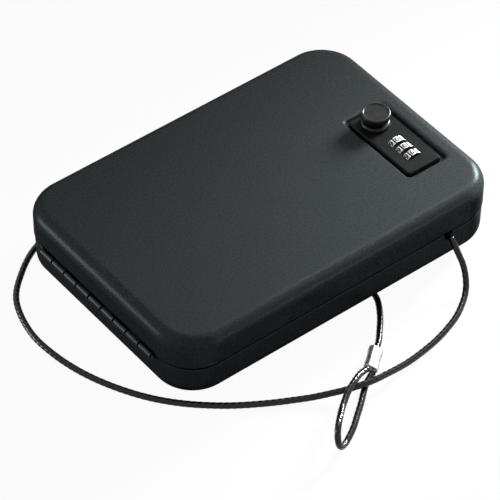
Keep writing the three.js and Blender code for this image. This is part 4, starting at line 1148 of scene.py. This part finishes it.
def make_lining(name, node, body, plan, heights, holes):
    """A foam sheet with eased edges and a slight crown."""
    outline = rounded_outline(*plan, 12)
    low, high = heights
    up = body == "base"
    cx = (min(x for x, _ in outline) + max(x for x, _ in outline)) / 2
    rings = []
    for inset, share in ((0.5, 0), (0.1, 0.12), (0, 0.4), (0.15, 0.72), (0.6, 0.92), (1.3, 1)):
        z = low + (high - low) * (share if up else 1 - share)
        half_x = max(x for x, _ in outline) - cx
        half_y = max(y for _, y in outline)
        rings.append(([
            (cx + (x - cx) * (1 - inset / half_x), y * (1 - inset / half_y)) for x, y in outline
        ], z))
    if not up:
        rings.reverse()
    lining = loft(name, rings)
    if holes:
        combine(lining, holes)
    smooth(lining, sharp=50)
    dress(lining, "foam", body, node)


post_hole = rod("post_hole", POST_AT, POST_FOAM_HOLE, 0, 20)
make_lining("base_lining", "base_foam", "base", BASE_LINING, BASE_LINING_ZS, [post_hole])
make_lining("lid_lining", "lid_foam", "lid", LID_LINING, LID_LINING_ZS, [])


def make_foot(index, centre):
    """A rubber foot with an eased rim."""
    profile = [(0, 0), (5.4, 0), (6.3, 0.3), (6.8, 1.1), (7, 4.7), (0, 4.7)]
    foot = turned(f"rubber_foot_{index}", centre, profile, fillet=0.3, sides=64)
    dress(smooth(foot, sharp=50), "rubber", "base", f"foot_{index}")


for number, foot_at in enumerate(FEET, 1):
    make_foot(number, foot_at)


def make_post():
    """The riveted post that the cable's inner eye lies round."""
    profile = [
        (0, 4), (2.8, 4), (3.4, 4.7), (2, 4.7), (2, 6.8), (4, 6.8), (4, 18.8), (6.5, 18.8),
        (6.5, 20), (5.7, 20.8), (0, 20.8),
    ]
    post = turned("anchor_post", POST_AT, profile, fillet=0.3, sides=72)
    dress(smooth(post, sharp=50), "steel", "base", "cable_anchor_post")


make_post()


def soften_cad_facets():
    """A modifier that shades the turned CAD pieces round and keeps their edges."""
    group = bpy.data.node_groups.new("soften_facets", "GeometryNodeTree")
    for way in ("INPUT", "OUTPUT"):
        group.interface.new_socket("Geometry", in_out=way, socket_type="NodeSocketGeometry")
    start = group.nodes.new("NodeGroupInput")
    end = group.nodes.new("NodeGroupOutput")
    merge = group.nodes.new("GeometryNodeMergeByDistance")
    merge.inputs["Distance"].default_value = 1e-6
    angle = group.nodes.new("GeometryNodeInputMeshEdgeAngle")
    flat = group.nodes.new("FunctionNodeCompare")
    flat.operation = "LESS_THAN"
    flat.inputs["B"].default_value = math.radians(38)
    faces = group.nodes.new("GeometryNodeSetShadeSmooth")
    edges = group.nodes.new("GeometryNodeSetShadeSmooth")
    edges.domain = "EDGE"
    link = group.links.new
    link(start.outputs[0], merge.inputs["Geometry"])
    link(merge.outputs["Geometry"], faces.inputs["Geometry"])
    link(faces.outputs["Geometry"], edges.inputs["Geometry"])
    link(angle.outputs["Unsigned Angle"], flat.inputs["A"])
    link(flat.outputs["Result"], edges.inputs["Shade Smooth"])
    link(edges.outputs["Geometry"], end.inputs[0])
    return group


def dress_cad_nodes():
    """Every CAD node that stays shown gets its slot's material and soft facets."""
    slots = {row["node"]: row["material_slot"] for row in frame["record"]["subparts"]}
    group = soften_cad_facets()
    for name, obj in NODES.items():
        if obj.hide_render:
            continue
        for material_slot in obj.material_slots:
            material_slot.material = MATERIALS[slots[name]]
        obj.modifiers.new("soften", "NODES").node_group = group


dress_cad_nodes()


# Floor, sky and lamps

def new_node(tree, kind, operation=None):
    node = tree.nodes.new(kind)
    if operation:
        node.operation = operation
    return node


def background_rays(tree):
    """Sockets that are 1 for camera rays, for mirrored or refracted ones, and for all these."""
    path = new_node(tree, "ShaderNodeLightPath")
    mirrored = new_node(tree, "ShaderNodeMath", "MAXIMUM")
    seen = new_node(tree, "ShaderNodeMath", "MAXIMUM")
    tree.links.new(path.outputs["Is Glossy Ray"], mirrored.inputs[0])
    tree.links.new(path.outputs["Is Transmission Ray"], mirrored.inputs[1])
    tree.links.new(mirrored.outputs[0], seen.inputs[0])
    tree.links.new(path.outputs["Is Camera Ray"], seen.inputs[1])
    return path.outputs["Is Camera Ray"], mirrored.outputs[0], seen.outputs[0]


def make_floor():
    """A floor that the camera sees white with a faint shadow, and that lights the object less."""
    floor = block("floor", (-3000, -3000, -20), (3000, 3000, -0.02))
    material = bpy.data.materials.new("floor")
    material.use_nodes = True
    tree = material.node_tree
    tree.nodes.clear()
    camera, mirrored, seen = background_rays(tree)
    pale = new_node(tree, "ShaderNodeMapRange")
    pale.inputs["To Min"].default_value = FLOOR_GREY
    pale.inputs["To Max"].default_value = FLOOR_PALE
    diffuse = new_node(tree, "ShaderNodeBsdfDiffuse")
    glow = new_node(tree, "ShaderNodeEmission")
    dimmed = new_node(tree, "ShaderNodeMath", "MULTIPLY")
    dimmed.inputs[1].default_value = GLOW_MIRRORED
    share = new_node(tree, "ShaderNodeMath", "MULTIPLY_ADD")
    share.inputs[1].default_value = GLOW_SEEN
    mix = new_node(tree, "ShaderNodeMixShader")
    out = new_node(tree, "ShaderNodeOutputMaterial")
    link = tree.links.new
    link(seen, pale.inputs["Value"])
    link(pale.outputs["Result"], diffuse.inputs["Color"])
    link(mirrored, dimmed.inputs[0])
    link(camera, share.inputs[0])
    link(dimmed.outputs[0], share.inputs[2])
    link(share.outputs[0], mix.inputs["Fac"])
    link(diffuse.outputs[0], mix.inputs[1])
    link(glow.outputs[0], mix.inputs[2])
    link(mix.outputs[0], out.inputs["Surface"])
    floor.data.materials.append(material)


def make_sky():
    """A world that is white where it is seen, and gives only a little light."""
    world = bpy.data.worlds.new("studio")
    bpy.context.scene.world = world
    world.use_nodes = True
    tree = world.node_tree
    tree.nodes.clear()
    seen = background_rays(tree)[2]
    mix = new_node(tree, "ShaderNodeMixShader")
    out = new_node(tree, "ShaderNodeOutputWorld")
    tree.links.new(seen, mix.inputs["Fac"])
    for socket, strength in ((1, SKY_LIGHT), (2, 1)):
        sky = new_node(tree, "ShaderNodeBackground")
        sky.inputs["Color"].default_value = (1, 1, 1, 1)
        sky.inputs["Strength"].default_value = strength
        tree.links.new(sky.outputs[0], mix.inputs[socket])
    tree.links.new(mix.outputs[0], out.inputs["Surface"])


def lamp(name, direction, distance, size, power, aim=(0, 0, 0.03), facing=None, spread=180):
    """A soft square of light, set out from its aim in metres, that faces it or another point."""
    data = bpy.data.lights.new(name, "AREA")
    data.shape = "RECTANGLE"
    data.size = data.size_y = size
    data.energy = power
    data.spread = math.radians(spread)
    obj = place(bpy.data.objects.new(name, data))
    spot = Vector(aim) + Vector(direction).normalized() * distance
    back = spot - Vector(facing or aim)
    turn = back.to_track_quat("Z", "Y").to_matrix().to_4x4()
    obj.matrix_world = Matrix.Translation(spot) @ turn


bpy.context.scene.view_settings.view_transform = "Standard"
make_floor()
make_sky()
LOCK_END = (0.07, 0, 0.04)
LOCK_END_NEAR = (0.07, -0.09, 0.04)
lamp(
    "key", (0.928, 0.081, 0.363), 0.5, 0.16, 1.06, aim=LOCK_END, facing=LOCK_END_NEAR, spread=46
)
lamp("overhead", (0.453, 0.03, 0.891), 0.45, 0.25, 0.62, aim=LOCK_END)
lamp("left_low", (-0.760, 0.638, 0.122), 0.9, 0.34, 4)
lamp("near_low", (0.436, -0.891, 0.13), 0.9, 0.3, 0.6)
